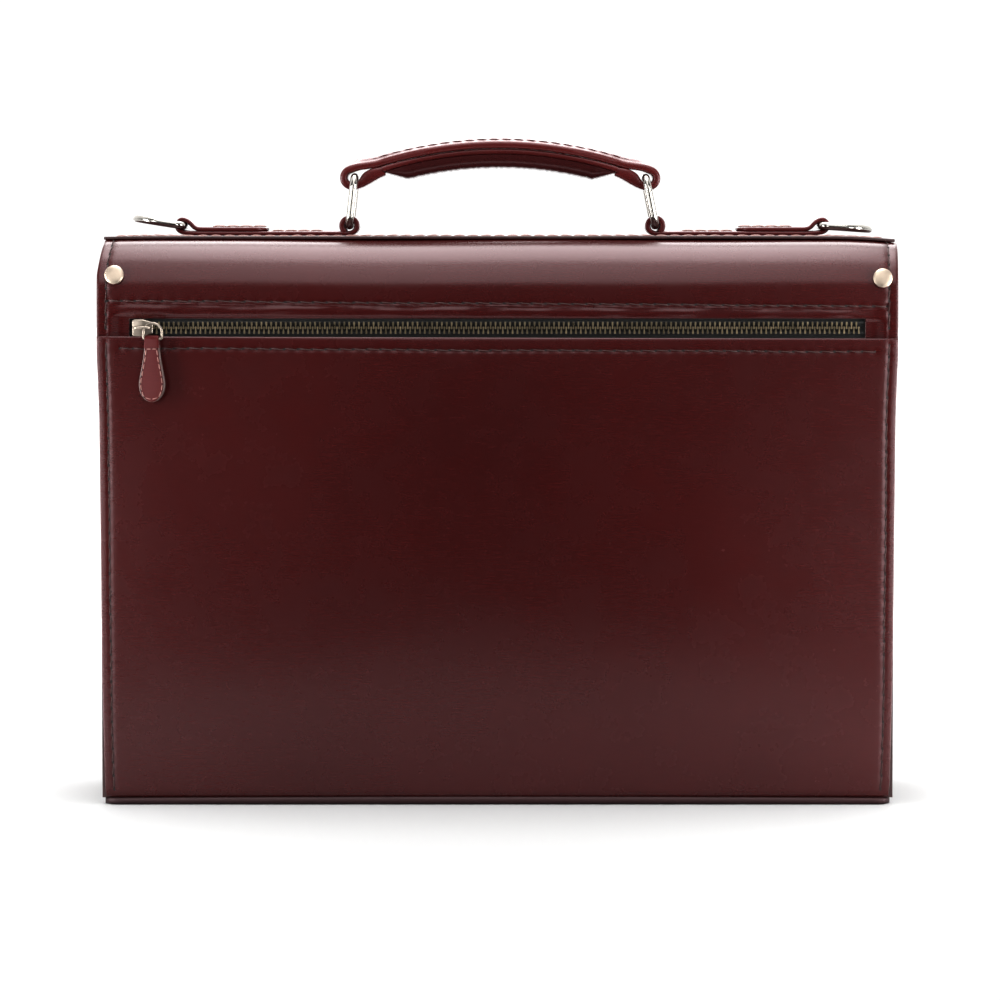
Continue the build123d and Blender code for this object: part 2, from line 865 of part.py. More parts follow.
# Seen from above, the strap widens from its ends to its middle.
plan_corners = [
    (-handle_span / 2 - 12, handle_end_half_width),
    (-handle_span / 2 + 14, handle_end_half_width),
    (-handle_span / 2 + 36, handle_half_width),
    (handle_span / 2 - 36, handle_half_width),
    (handle_span / 2 - 14, handle_end_half_width),
    (handle_span / 2 + 12, handle_end_half_width),
]
handle_plan = [(handle_centre.X + x, hardware_y + y) for x, y in plan_corners]
handle_plan += [(handle_centre.X + x, hardware_y - y) for x, y in reversed(plan_corners)]

with BuildPart() as handle_strap:
    with BuildSketch(handle_plane.offset(-handle_half_width)):
        arc_band(handle_arc, strap_inner_arc, -end_angle, 2 * end_angle)
        for side in (-1, 1):
            arc_band(
                strap_inner_arc,
                liner_inner_arc,
                side * (liner_angle + return_gap_angle),
                side * (end_angle - liner_angle),
            )
            with Locations((side * handle_span / 2, 0)):
                SlotOverall(
                    loop_slot_length + 2 * loop_wall,
                    loop_slot_height + 2 * loop_wall,
                    rotation=-side * slot_rotation,
                )
        for side in (-1, 1):
            with Locations((side * handle_span / 2, 0)):
                SlotOverall(
                    loop_slot_length,
                    loop_slot_height,
                    rotation=-side * slot_rotation,
                    mode=Mode.SUBTRACT,
                )
    extrude(amount=2 * handle_half_width)
    with BuildSketch(Plane.XY.offset(handle_centre.Z - 30)):
        with BuildLine():
            Polyline(*handle_plan, close=True)
        make_face()
    extrude(amount=80, mode=Mode.INTERSECT)
save(handle_strap, "handle_strap")

with BuildPart() as handle_liner:
    with BuildSketch(handle_plane.offset(-handle_end_half_width)):
        arc_band(strap_inner_arc, liner_inner_arc, -liner_angle, 2 * liner_angle)
    extrude(amount=2 * handle_end_half_width)
save(handle_liner, "handle_liner")

core_margin = 2.4
core_half_width = 5.0
flat_angle = degrees(asin(grip_flat_half_length / grip_inner_arc))
core_angle = flat_angle - 1.5


def arc_point(radius, angle):
    """Point at the angle from +w, about the handle's centre of curvature."""
    return (radius * sin(radians(angle)), arc_centre_w + radius * cos(radians(angle)))


with BuildPart() as handle_grip:
    with BuildSketch(handle_plane.offset(-handle_half_width + 0.5)):
        with BuildLine():
            CenterArc((0, arc_centre_w), liner_inner_arc, 90 - liner_angle, 2 * liner_angle)
            Line(arc_point(liner_inner_arc, -liner_angle), arc_point(grip_inner_arc, -flat_angle))
            CenterArc((0, arc_centre_w), grip_inner_arc, 90 - flat_angle, 2 * flat_angle)
            Line(arc_point(grip_inner_arc, flat_angle), arc_point(liner_inner_arc, liner_angle))
        make_face()
    extrude(amount=2 * (handle_half_width - 0.5))
    with BuildSketch(handle_plane.offset(-core_half_width)):
        arc_band(
            liner_inner_arc - core_margin,
            grip_inner_arc + core_margin,
            -core_angle,
            2 * core_angle,
        )
    extrude(amount=2 * core_half_width, mode=Mode.SUBTRACT)
save(handle_grip, "handle_grip")

with BuildPart() as handle_core:
    with BuildSketch(handle_plane.offset(-core_half_width)):
        arc_band(
            liner_inner_arc - core_margin,
            grip_inner_arc + core_margin,
            -core_angle,
            2 * core_angle,
        )
    extrude(amount=2 * core_half_width)
save(handle_core, "handle_core")

# ================================================================ flap
flap_bottom = 88.0
flap_top = top_start + top_radius
lining_top = top_start - 2
flap_bottom_half = 203.0
flap_corner = 24.0
frame_bottom = 102.4
frame_top = nose_top + 0.8
frame_half = nose_half_width + 0.8


def flap_outline(inset, top):
    """Flap seen from the front: full width at its top, rounded lower corners."""
    with BuildLine() as outline:
        sides = FilletPolyline(
            (-half_width + inset, top),
            (-flap_bottom_half + inset, flap_bottom + inset),
            (flap_bottom_half - inset, flap_bottom + inset),
            (half_width - inset, top),
            radius=flap_corner,
        )
        Line(sides @ 1, sides @ 0)
    make_face(outline.edges())


def lock_window():
    """Opening that the lock's nose comes through, with room to swing off it."""
    with Locations((0, (frame_bottom + frame_top) / 2)):
        Rectangle(2 * frame_half, frame_top - frame_bottom, mode=Mode.SUBTRACT)


frame_metal = 1.2
frame_rivet = 0.8
frame_rivet_head = 1.3
frame_rivet_head_depth = 0.3
frame_rivet_x = 14.4
frame_rivet_z = 12.0
frame_backing = 0.5
frame_rivets = [
    (x, lock_z + z)
    for x in (-frame_rivet_x, frame_rivet_x)
    for z in (-frame_rivet_z, frame_rivet_z)
]
lining_inset = 2.0
lining_margin = 1.0  # round the frame's back plate

with BuildPart() as cover_front:
    with BuildSketch(Plane.YZ):
        with BuildLine():
            Line((flap_outer_y, flap_bottom), (flap_outer_y, top_start))
            CenterArc((front_arc_y, top_start), top_radius, 0, hinge_angle)
            Line(
                on_arc(front_arc_y, top_radius, hinge_angle),
                on_arc(front_arc_y, inner_radius, hinge_angle),
            )
            CenterArc((front_arc_y, top_start), inner_radius, hinge_angle, -hinge_angle)
            Line((flap_leather_y, top_start), (flap_leather_y, flap_bottom))
            Line((flap_leather_y, flap_bottom), (flap_outer_y, flap_bottom))
        make_face()
    extrude(amount=half_width, both=True)
    with BuildSketch(upright(flap_outer_y + 1)):
        flap_outline(0, flap_top)
        lock_window()
        with Locations(*frame_rivets):
            Circle(frame_rivet + fit_gap, mode=Mode.SUBTRACT)
    extrude(amount=top_radius, mode=Mode.INTERSECT)
save(cover_front, "cover_front")

with BuildPart() as flap_lining:
    with BuildSketch(upright(flap_leather_y)):
        flap_outline(lining_inset, lining_top)
        with Locations((0, lock_z)):
            Rectangle(
                2 * (lock_plate_half_width + lining_margin),
                2 * (lock_plate_half_height + lining_margin),
                mode=Mode.SUBTRACT,
            )
    extrude(amount=lining)
save(flap_lining, "flap_lining")

with BuildPart() as lock_frame:
    with BuildSketch(upright(flap_outer_y + frame_metal)):
        with Locations((0, lock_z)):
            RectangleRounded(2 * lock_plate_half_width, 2 * lock_plate_half_height, plate_corner)
        lock_window()
        with Locations(*frame_rivets):
            Circle(frame_rivet + fit_gap, mode=Mode.SUBTRACT)
    extrude(amount=frame_metal)
save(lock_frame, "lock_frame")

with BuildPart() as lock_frame_backplate:
    with BuildSketch(upright(flap_leather_y)):
        with Locations((0, lock_z)):
            Rectangle(2 * lock_plate_half_width, 2 * lock_plate_half_height)
        lock_window()
        with Locations(*frame_rivets):
            Circle(frame_rivet + fit_gap, mode=Mode.SUBTRACT)
    extrude(amount=frame_backing)
save(lock_frame_backplate, "lock_frame_backplate")

with BuildPart() as lock_frame_rivets:
    with BuildSketch(upright(flap_outer_y + frame_metal)):
        with Locations(*frame_rivets):
            Circle(frame_rivet)
    extrude(amount=frame_metal + cover_leather + frame_backing)
    with BuildSketch(upright(flap_outer_y + frame_metal + frame_rivet_head_depth)):
        with Locations(*frame_rivets):
            Circle(frame_rivet_head)
    extrude(amount=frame_rivet_head_depth)
save(lock_frame_rivets, "lock_frame_rivets")
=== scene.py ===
import math

import bpy
import numpy as np
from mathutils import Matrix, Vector


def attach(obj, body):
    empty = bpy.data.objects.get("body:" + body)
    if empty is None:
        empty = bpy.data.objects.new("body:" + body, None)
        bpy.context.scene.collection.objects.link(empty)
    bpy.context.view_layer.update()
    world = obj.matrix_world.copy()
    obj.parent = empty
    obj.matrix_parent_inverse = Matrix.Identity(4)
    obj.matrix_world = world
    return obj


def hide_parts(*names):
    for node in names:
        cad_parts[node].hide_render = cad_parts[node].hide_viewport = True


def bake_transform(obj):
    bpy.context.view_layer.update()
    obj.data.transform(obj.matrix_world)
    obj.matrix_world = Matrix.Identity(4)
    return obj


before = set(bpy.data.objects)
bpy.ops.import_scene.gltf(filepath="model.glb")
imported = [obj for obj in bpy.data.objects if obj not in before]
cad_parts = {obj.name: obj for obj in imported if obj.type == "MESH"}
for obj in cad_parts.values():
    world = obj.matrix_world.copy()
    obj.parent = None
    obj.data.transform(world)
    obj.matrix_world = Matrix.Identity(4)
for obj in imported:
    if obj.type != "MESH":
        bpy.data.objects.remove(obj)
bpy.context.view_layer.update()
scene = bpy.context.scene

# Everything below is laid out in millimetres, in the CAD's frame, and becomes metres in make_mesh.
MM = 0.001
DEG = math.pi / 180

# ---------------------------------------------------------------- sizes, most of them as in the CAD
HALF = 205.3  # half widths of the back and of the top
TOP_HALF = 202.4
BEND = 25.0  # outer radius of the two long top edges, rounder than in the CAD
BEND_Z = 266.0
BACK_Y = -50.0  # outer faces of the pocket panel, the yoke and the flap
YOKE_Y = -47.8
FLAP_Y = 53.9
BACK_ARC_Y = YOKE_Y + BEND
FRONT_ARC_Y = FLAP_Y - BEND
HIDE = 2.5
PANEL = 2.2
BASE = 3.4
SEAM_X = 200.6  # the two side seams
HARDWARE_X = 2.5  # middle of the handle and its rings
HARDWARE_Y = 2.0
STRIP_TOP = 292.7
PIVOT_Z = 297.9  # height of the bars that lie in the strap loops
RING_BASE_X = 79.8
D_RING_X = 166.5
RING_PITCH = 25.5  # between the centres of a ring's two long bars
RING_HALF = 13.0
WIRE = 2.0  # radius of the rings' wire
ZIP_Z = 245.7
PITCH = 7.0  # from one stitch to the next
STITCH = np.linspace(0, 1, 6)  # stations along one stitch


# ---------------------------------------------------------------- materials
def shader(name, **sockets):
    """New material with a Principled shader, its sockets set by name."""
    mat = bpy.data.materials.new(name)
    mat.use_nodes = True
    bsdf = mat.node_tree.nodes["Principled BSDF"]
    for key, value in sockets.items():
        bsdf.inputs[key.replace("_", " ")].default_value = value
    return mat, mat.node_tree, bsdf


def node(tree, kind, inputs=None, **settings):
    """New node with its settings, and with each input set to a value or linked to a socket."""
    made = tree.nodes.new(kind)
    for key, value in settings.items():
        setattr(made, key, value)
    for key, value in (inputs or {}).items():
        if hasattr(value, "links"):
            tree.links.new(value, made.inputs[key])
        else:
            made.inputs[key].default_value = value
    return made


def coords(tree, scale=(1, 1, 1)):
    """Object coordinates stretched by the scale."""
    place = node(tree, "ShaderNodeTexCoord").outputs["Object"]
    return node(tree, "ShaderNodeMapping", {"Vector": place, "Scale": scale}).outputs["Vector"]


def noise(tree, vector, scale, detail=3.0, roughness=0.55):
    sockets = {"Vector": vector, "Scale": scale, "Detail": detail, "Roughness": roughness}
    return node(tree, "ShaderNodeTexNoise", sockets).outputs["Fac"]


def cells(tree, vector, scale):
    """Distance to the nearest of many scattered points."""
    sockets = {"Vector": vector, "Scale": scale}
    return node(tree, "ShaderNodeTexVoronoi", sockets, feature="F1").outputs["Distance"]


def ramp(tree, fac, stops):
    """Colour ramp through the stops, each a place and a colour."""
    made = node(tree, "ShaderNodeValToRGB", {"Fac": fac})
    elements = made.color_ramp.elements
    while len(elements) < len(stops):
        elements.new(0.5)
    for element, (place, colour) in zip(elements, stops):
        element.position = place
        element.color = (*colour, 1.0)
    return made.outputs["Color"]


def mix(tree, fac, a, b):
    """From colour a to colour b by fac. Each colour is three numbers or a socket."""
    made = node(tree, "ShaderNodeMix", data_type="RGBA")
    tree.links.new(fac, made.inputs[0])
    for index, value in ((6, a), (7, b)):
        if hasattr(value, "links"):
            tree.links.new(value, made.inputs[index])
        else:
            made.inputs[index].default_value = (*value, 1.0)
    return made.outputs[2]


def spread(tree, value, low, high, to_low, to_high):
    """Maps low..high onto to_low..to_high and stops at its ends."""
    sockets = {"Value": value, "From Min": low, "From Max": high, "To Min": to_low, "To Max": to_high}
    return node(tree, "ShaderNodeMapRange", sockets).outputs["Result"]


def bump(tree, height, strength, distance, below=None):
    """Bump from a height, on top of another bump's normal where one is given."""
    inputs = {"Height": height, "Strength": strength, "Distance": distance}
    if below is not None:
        inputs["Normal"] = below
    return node(tree, "ShaderNodeBump", inputs).outputs["Normal"]


def leather(name, deep, mid, rough=(0.24, 0.30), coat=0.12, grain=0.25, shine=0.42):
    """Smooth bridle leather: mottled dye, fine lengthwise fibre, pores and a waxed surface."""
    mat, tree, bsdf = shader(
        name, Coat_Weight=coat, Coat_Roughness=0.22, Specular_IOR_Level=shine,
        Specular_Tint=(1.0, 0.80, 0.83, 1.0),
    )
    plain = coords(tree)
    clouds = noise(tree, plain, 7.0, 4.0)
    mottle = noise(tree, plain, 46.0, 5.0, 0.6)
    fibre = noise(tree, coords(tree, (150, 500, 1500)), 1.0, 3.0, 0.6)
    fine = noise(tree, plain, 1500.0, 2.0)
    pores = cells(tree, plain, 850.0)
    dark = tuple(c * 0.78 for c in deep)
    light = tuple(min(1.0, c * 1.35 + 0.004) for c in mid)
    dye = ramp(tree, clouds, [(0.3, deep), (0.72, mid)])
    dye = mix(tree, spread(tree, mottle, 0.2, 0.8, 0.0, 0.3), dye, dark)
    dye = mix(tree, spread(tree, fibre, 0.5, 0.85, 0.0, 0.3), dye, light)
    tree.links.new(dye, bsdf.inputs["Base Color"])
    tree.links.new(spread(tree, mottle, 0.15, 0.85, *rough), bsdf.inputs["Roughness"])
    relief = bump(tree, fibre, grain, 0.00012)
    relief = bump(tree, fine, grain * 0.8, 0.00008, relief)
    relief = bump(tree, pores, grain * 0.5, 0.00008, relief)
    tree.links.new(relief, bsdf.inputs["Normal"])
    return mat


def edge_leather(name, base, tip):
    """Cut and burnished leather edge: dark dye over layered fibre, waxed."""
    mat, tree, bsdf = shader(name, Coat_Weight=0.15, Coat_Roughness=0.3)
    layers = noise(tree, coords(tree, (300, 300, 300)), 1.0, 4.0, 0.7)
    tone = ramp(tree, layers, [(0.3, base), (0.75, tip)])
    tree.links.new(tone, bsdf.inputs["Base Color"])
    tree.links.new(spread(tree, layers, 0.3, 0.7, 0.4, 0.62), bsdf.inputs["Roughness"])
    tree.links.new(bump(tree, layers, 0.35, 0.00015), bsdf.inputs["Normal"])
    return mat


def metal(name, base, rough, wear):
    """Plated metal with faint polishing marks and small changes of tone."""
    mat, tree, bsdf = shader(name, Metallic=1.0)
    marks = noise(tree, coords(tree, (900, 900, 260)), 1.0, 3.0)
    tone = noise(tree, coords(tree), 160.0, 3.0)
    tree.links.new(
        ramp(tree, tone, [(0.3, tuple(c * wear for c in base)), (0.7, base)]),
        bsdf.inputs["Base Color"],
    )
    tree.links.new(spread(tree, marks, 0.3, 0.7, *rough), bsdf.inputs["Roughness"])
    tree.links.new(bump(tree, marks, 0.08, 0.00005), bsdf.inputs["Normal"])
    return mat


def cloth(name, a, b, scale, rough=0.9):
    """Woven or napped fabric."""
    mat, tree, bsdf = shader(name, Sheen_Weight=0.08, Sheen_Roughness=0.5, Roughness=rough)
    weave = cells(tree, coords(tree), scale)
    nap = noise(tree, coords(tree), scale * 0.12, 4.0)
    # Painted shade: the colour darkens towards a away from the cell points, as shade in the gaps between
    # threads.
    depth = spread(tree, weave, 0.0, 0.6, 0.0, 0.5)
    tree.links.new(mix(tree, depth, ramp(tree, nap, [(0.3, a), (0.7, b)]), a), bsdf.inputs["Base Color"])
    tree.links.new(bump(tree, weave, 0.5, 0.0002), bsdf.inputs["Normal"])
    return mat


BRIDLE = leather("bridle_leather", (0.027, 0.0020, 0.0018), (0.037, 0.0030, 0.0027))
STRAP = leather("strap_leather", (0.050, 0.0055, 0.005), (0.072, 0.0085, 0.008))
FOB = leather(
    "fob_leather", (0.044, 0.0046, 0.0044), (0.064, 0.0072, 0.0068), (0.28, 0.36), 0.0, shine=0.2
)
GRIP = leather("grip_leather", (0.020, 0.0024, 0.0024), (0.032, 0.004, 0.004), coat=0.05)
EDGE = edge_leather("burnished_edge", (0.014, 0.0022, 0.0022), (0.034, 0.0055, 0.005))
# Painted shade: the bottom panel's leather is made near black and matte, standing for the contact shade
# along the bag's foot.
BASE_PAINTED_SHADE = leather("base_leather_painted_shade", (0.008, 0.001, 0.001), (0.014, 0.0016, 0.0015), (0.5, 0.6), 0.0)
FOB_EDGE = edge_leather("raw_edge", (0.055, 0.034, 0.031), (0.10, 0.068, 0.06))
FLESH = leather("flesh_side", (0.10, 0.032, 0.022), (0.14, 0.048, 0.032), (0.6, 0.75), 0.0, 0.6)
NICKEL = metal("polished_nickel", (0.36, 0.345, 0.32), (0.16, 0.24), 0.85)
RIVET = metal("rivet_nickel", (0.47, 0.39, 0.315), (0.34, 0.46), 0.8)
STEEL = metal("zinc_steel", (0.52, 0.52, 0.51), (0.28, 0.42), 0.85)
ANTIQUE = metal("antique_nickel", (0.30, 0.26, 0.22), (0.32, 0.46), 0.75)
BRASS = metal("antique_brass", (0.42, 0.34, 0.22), (0.26, 0.42), 0.6)
# The tape's near-black colour is partly its own dark dye and partly painted shade, darkened further for
# the shadow under the yoke's edge over the window.
TAPE = cloth("zip_tape", (0.002, 0.002, 0.002), (0.005, 0.0045, 0.0045), 1600)
SUEDE = cloth("suede", (0.13, 0.07, 0.042), (0.19, 0.11, 0.07), 900)
BOARD = cloth("fibreboard", (0.22, 0.16, 0.10), (0.32, 0.24, 0.16), 500)
THREAD = cloth("thread", (0.018, 0.006, 0.005), (0.045, 0.015, 0.012), 2600, 0.7)
PALE_THREAD = cloth("pale_thread", (0.21, 0.10, 0.085), (0.30, 0.165, 0.14), 2600, 0.6)
# Painted shade: flat near-black discs at the stitch ends stand for the dark inside of each awl hole.
HOLE_SHADE, _, _ = shader("awl_hole_painted_shade", Base_Color=(0.006, 0.002, 0.002, 1.0), Roughness=0.9)


# ---------------------------------------------------------------- mesh helpers
def make_mesh(name, points, faces, materials, slots=None, sharp=32):
    """Object from points in mm. slots gives each face's material."""
    mesh = bpy.data.meshes.new(name)
    mesh.from_pydata((np.asarray(points, float) * MM).tolist(), [], faces)
    for mat in materials:
        mesh.materials.append(mat)
    if slots is not None:
        mesh.polygons.foreach_set("material_index", np.asarray(slots, np.int32))
    mesh.polygons.foreach_set("use_smooth", np.ones(len(mesh.polygons), bool))
    mesh.update()
    mesh.set_sharp_from_angle(angle=sharp * DEG)
    obj = bpy.data.objects.new(name, mesh)
    scene.collection.objects.link(obj)
    return obj


def apply_modifiers(obj):
    """Bakes obj's modifiers into its mesh."""
    graph = bpy.context.evaluated_depsgraph_get()
    done = bpy.data.meshes.new_from_object(obj.evaluated_get(graph))
    obj.modifiers.clear()
    old = obj.data
    obj.data = done
    bpy.data.meshes.remove(old)


def round_edges(obj, width, segments):
    """Rounds obj's sharp edges by the width in mm."""
    bevel = obj.modifiers.new("round", "BEVEL")
    bevel.width = width * MM
    bevel.segments = segments
    bevel.limit_method = "ANGLE"
    bevel.angle_limit = 40 * DEG
    bevel.harden_normals = False
    apply_modifiers(obj)


def unit(vectors):
    """The vectors at length 1."""
    return vectors / np.linalg.norm(vectors, axis=-1, keepdims=True)


def run_of(line):
    """Length of a polyline up to each of its points."""
    return np.concatenate([[0], np.cumsum(np.linalg.norm(np.diff(line, axis=0), axis=1))])


def ring_faces(rows, sides, first=0):
    """Quads between rows of points, each row a closed ring of as many points."""
    faces = []
    for k in range(rows - 1):
        for j in range(sides):
            a = first + k * sides + j
            b = first + k * sides + (j + 1) % sides
            faces.append((a, b, b + sides, a + sides))
    return faces


def ripple(a, b, size, seed):
    """Smooth uneven field of about unit height over a and b, with lumps of that size in mm."""
    draw = np.random.default_rng(seed)
    total = 0
    waves = 7
    for _ in range(waves):
        angle = draw.uniform(0, math.tau)
        length = size * draw.uniform(0.7, 1.7)
        phase = draw.uniform(0, math.tau)
        total = total + np.sin(
            math.tau * (a * math.cos(angle) + b * math.sin(angle)) / length + phase
        )
    return total / math.sqrt(waves)


def steps(low, high, step, fine=(), reach=2.4, fine_step=0.6):
    """Sorted stations from low to high, closer together near each fine place."""
    closest = 0.22
    found = np.linspace(low, high, max(2, round((high - low) / step) + 1))
    kept = [v for v in found if all(abs(v - f) > reach + step * 0.3 for f in fine)]
    kept += [low, high]
    for f in fine:
        kept += [v for v in np.arange(f - reach, f + reach + 1e-6, fine_step) if low < v < high]
    kept = np.unique(np.round(kept, 4))
    wide = [kept[0]]
    for v in kept[1:]:
        if v - wide[-1] > closest:
            wide.append(v)
    wide[-1] = high
    return np.array(wide)


def pinned(stations, edges):
    """The stations with the edges among them, in place of any station too close to one."""
    clear = [v for v in stations if all(abs(v - edge) > 0.3 for edge in edges)]
    return np.unique(np.append(clear, edges))


class Seam:
    """Straight line of stitches on a sheet, from start to end in the sheet's own mm."""

    FADE = 1.5  # the dents fade out over this past each end
    GROOVE_HALF = 1.15
    PULL_HALF = 1.5

    def __init__(self, start, end, depth=0.12, pull=0.2, wave=0.0, seed=1):
        self.start = np.array(start, float)
        self.end = np.array(end, float)
        self.length = float(np.linalg.norm(self.end - self.start))
        self.count = max(1, round(self.length / PITCH))
        self.pitch = self.length / self.count
        self.along = (self.end - self.start) / self.length
        self.across = np.array([-self.along[1], self.along[0]])
        self.depth = depth
        self.pull = pull
        self.wave = wave
        self.seed = seed

    def wander(self, s):
        """How far the line strays to its left, s along it."""
        return self.wave * ripple(s, 0 * s, 90, self.seed)

    def at(self, s, off=0.0):
        """Sheet coordinates s along the seam and off to its left."""
        s = np.asarray(s, float)
        place = self.start + s[..., None] * self.along
        return place + (off + self.wander(s))[..., None] * self.across

    def dent(self, u, v):
        """How far the stitches pull the sheet in, in mm."""
        s = (u - self.start[0]) * self.along[0] + (v - self.start[1]) * self.along[1]
        d = (u - self.start[0]) * self.across[0] + (v - self.start[1]) * self.across[1]
        d = d - self.wander(s)
        inside = np.clip((s + self.FADE) / self.FADE, 0, 1)
        inside = inside * np.clip((self.length + self.FADE - s) / self.FADE, 0, 1)
        hole = np.cos(math.pi * s / self.pitch) ** 4
        groove = self.depth * np.exp(-((d / self.GROOVE_HALF) ** 2))
        pull = self.pull * hole * np.exp(-((d / self.PULL_HALF) ** 2))
        return inside * (groove + pull)


def thread_mesh(name, lines, materials, radius=0.27, sides=6, hole_shades=()):
    """One mesh of many short threads and of flat near-black discs, painted shade in the awl holes. lines
    hold (points, normals).
    """
    thin_end = 0.72
    shade_disc_length, shade_disc_width, spokes = 0.95, 0.62, 8
    points, faces = [], []
    ring = np.arange(sides) * math.tau / sides
    for path, normals in lines:
        path = np.asarray(path, float)
        tangent = unit(np.gradient(path, axis=0))
        side = unit(np.cross(tangent, np.asarray(normals, float)))
        up = np.cross(side, tangent)
        first = len(points)
        rows = len(path)
        for k in range(rows):
            size = radius * (thin_end if k in (0, rows - 1) else 1.0)
            for a in ring:
                points.append(path[k] + size * (math.cos(a) * up[k] + math.sin(a) * side[k]))
        faces += ring_faces(rows, sides, first)
        faces.append(tuple(first + j for j in reversed(range(sides))))
        faces.append(tuple(first + (rows - 1) * sides + j for j in range(sides)))
    slots = [0] * len(faces)
    for centre, normal, along in hole_shades:
        across = np.cross(normal, along)
        first = len(points)
        for k in range(spokes):
            a = k * math.tau / spokes
            spoke = shade_disc_length * math.cos(a) * along + shade_disc_width * math.sin(a) * across
            points.append(centre + spoke)
        faces.append(tuple(range(first, first + spokes)))
        slots.append(1)
    return make_mesh(name, points, faces, materials, slots, sharp=60)


def stitch_shares(k, count, gap=0.07):
    """Stations of stitch k of count on a line from 0 to 1, a gap left at both its ends."""
    return (k + gap + (1 - 2 * gap) * STITCH) / count


def arch(height, t=STITCH):
    """Rise of a thread over the leather, from hole to hole."""
    return height * np.sin(math.pi * t) ** 0.6


class Sheet:
    """Leather sheet over a grid of its own mm coordinates u and v."""

    THREAD_HEIGHT = 0.42
    SLANT = 0.32  # of a stitch to its seam, at its ends
    # How far the painted-shade discs of the awl holes sit above the dented surface.
    SHADE_DISC_LIFT = 0.16

    def __init__(self, us, vs, place, thickness, seams=(), relief=None):
        self.us, self.vs = us, vs
        self.place = place
        self.thickness = thickness
        self.seams = seams
        self.relief = relief

    def surface(self, u, v):
        """Outer face's points and normals, dents included."""
        u, v = np.asarray(u, float), np.asarray(v, float)
        base, normal = self.place(u, v)
        lift = self.relief(u, v) if self.relief else 0 * u
        for seam in self.seams:
            lift = lift - seam.dent(u, v)
        return base + lift[..., None] * normal, normal

    def build(self, name, materials, keep=None, *, edge):
        """Closed mesh with its rims rounded by edge in mm. keep(u, v) says which cells stay."""
        u, v = np.meshgrid(self.us, self.vs)
        outer, normal = self.surface(u, v)
        base, _ = self.place(u, v)
        soft = self.relief(u, v) if self.relief else 0 * u
        inner = base + (soft - self.thickness)[..., None] * normal
        mid_u = (u[:-1, :-1] + u[1:, 1:]) / 2
        mid_v = (v[:-1, :-1] + v[1:, 1:]) / 2
        mask = np.ones(mid_u.shape, bool) if keep is None else keep(mid_u, mid_v)
        shift = u.size
        index = np.arange(shift).reshape(u.shape)
        a, b = index[:-1, :-1][mask], index[:-1, 1:][mask]
        c, d = index[1:, 1:][mask], index[1:, :-1][mask]
        faces = np.stack([a, b, c, d], 1)
        turned = np.stack([d, c, b, a], 1) + shift
        point = outer.reshape(-1, 3)
        one = faces[0]
        facing = np.cross(point[one[1]] - point[one[0]], point[one[3]] - point[one[0]])
        if np.dot(facing, normal.reshape(-1, 3)[one[0]]) < 0:
            faces, turned = faces[:, ::-1], turned[:, ::-1]
        free = {}  # directed edges that only one face has, in order
        for face in faces.tolist():
            for k in range(4):
                p, q = face[k], face[(k + 1) % 4]
                if (q, p) in free:
                    del free[(q, p)]
                else:
                    free[(p, q)] = True
        rims = [(q, p, p + shift, q + shift) for p, q in free]
        everything = faces.tolist() + turned.tolist() + rims
        slots = [0] * len(faces) + [2 if len(materials) > 2 else 0] * len(turned)
        slots += [1] * len(rims)
        points = np.concatenate([point, inner.reshape(-1, 3)])
        live = np.zeros(len(points), bool)
        live[np.unique(np.array([i for f in everything for i in f]))] = True
        order = np.cumsum(live) - 1
        everything = [tuple(int(order[i]) for i in f) for f in everything]
        obj = make_mesh(name, points[live], everything, materials, slots)
        marked = set()
        for p, q in free:
            marked.add(frozenset((int(order[p]), int(order[q]))))
            marked.add(frozenset((int(order[p + shift]), int(order[q + shift]))))
        weight = obj.data.attributes.new("bevel_weight_edge", "FLOAT", "EDGE")
        ends = np.zeros(len(obj.data.edges) * 2, np.int32)
        obj.data.edges.foreach_get("vertices", ends)
        values = [float(frozenset(pair) in marked) for pair in ends.reshape(-1, 2).tolist()]
        weight.data.foreach_set("value", values)
        bevel = obj.modifiers.new("rim", "BEVEL")
        bevel.limit_method = "WEIGHT"
        bevel.width = edge * MM
        bevel.segments = 3
        bevel.use_clamp_overlap = True
        apply_modifiers(obj)
        obj.data.set_sharp_from_angle(angle=38 * DEG)
        return obj

    def stitches(self, skip=None):
        """Thread lines of the seams, and flat dark discs as painted shade in their awl holes, on the
        sheet's outer face.
        """
        lines, hole_shades = [], []
        for seam in self.seams:
            draw = np.random.default_rng(seam.seed + 40)
            for k in range(seam.count):
                gap = 0.3 + draw.uniform(-0.15, 0.15)
                s = seam.pitch * k + gap + STITCH * (seam.pitch - 2 * gap)
                off = self.SLANT * (1 - 2 * STITCH) + draw.uniform(-0.1, 0.1)
                uv = seam.at(s, off)
                if skip is not None and skip(uv[2, 0], uv[2, 1]):
                    continue
                base, normal = self.surface(uv[:, 0], uv[:, 1])
                rise = arch(self.THREAD_HEIGHT + draw.uniform(-0.06, 0.06)) - 0.1
                lines.append((base + rise[:, None] * normal, normal))
            for k in range(seam.count + 1):
                uv = seam.at(np.array([seam.pitch * k]))
                if skip is not None and skip(uv[0, 0], uv[0, 1]):
                    continue
                ahead = seam.at(np.array([seam.pitch * k + 0.5]))
                base, normal = self.surface(uv[:, 0], uv[:, 1])
                tip, _ = self.surface(ahead[:, 0], ahead[:, 1])
                along = tip[0] - base[0]
                along -= normal[0] * float(np.dot(along, normal[0]))
                hole_shades.append((base[0] + self.SHADE_DISC_LIFT * normal[0], normal[0], unit(along)))
        return lines, hole_shades


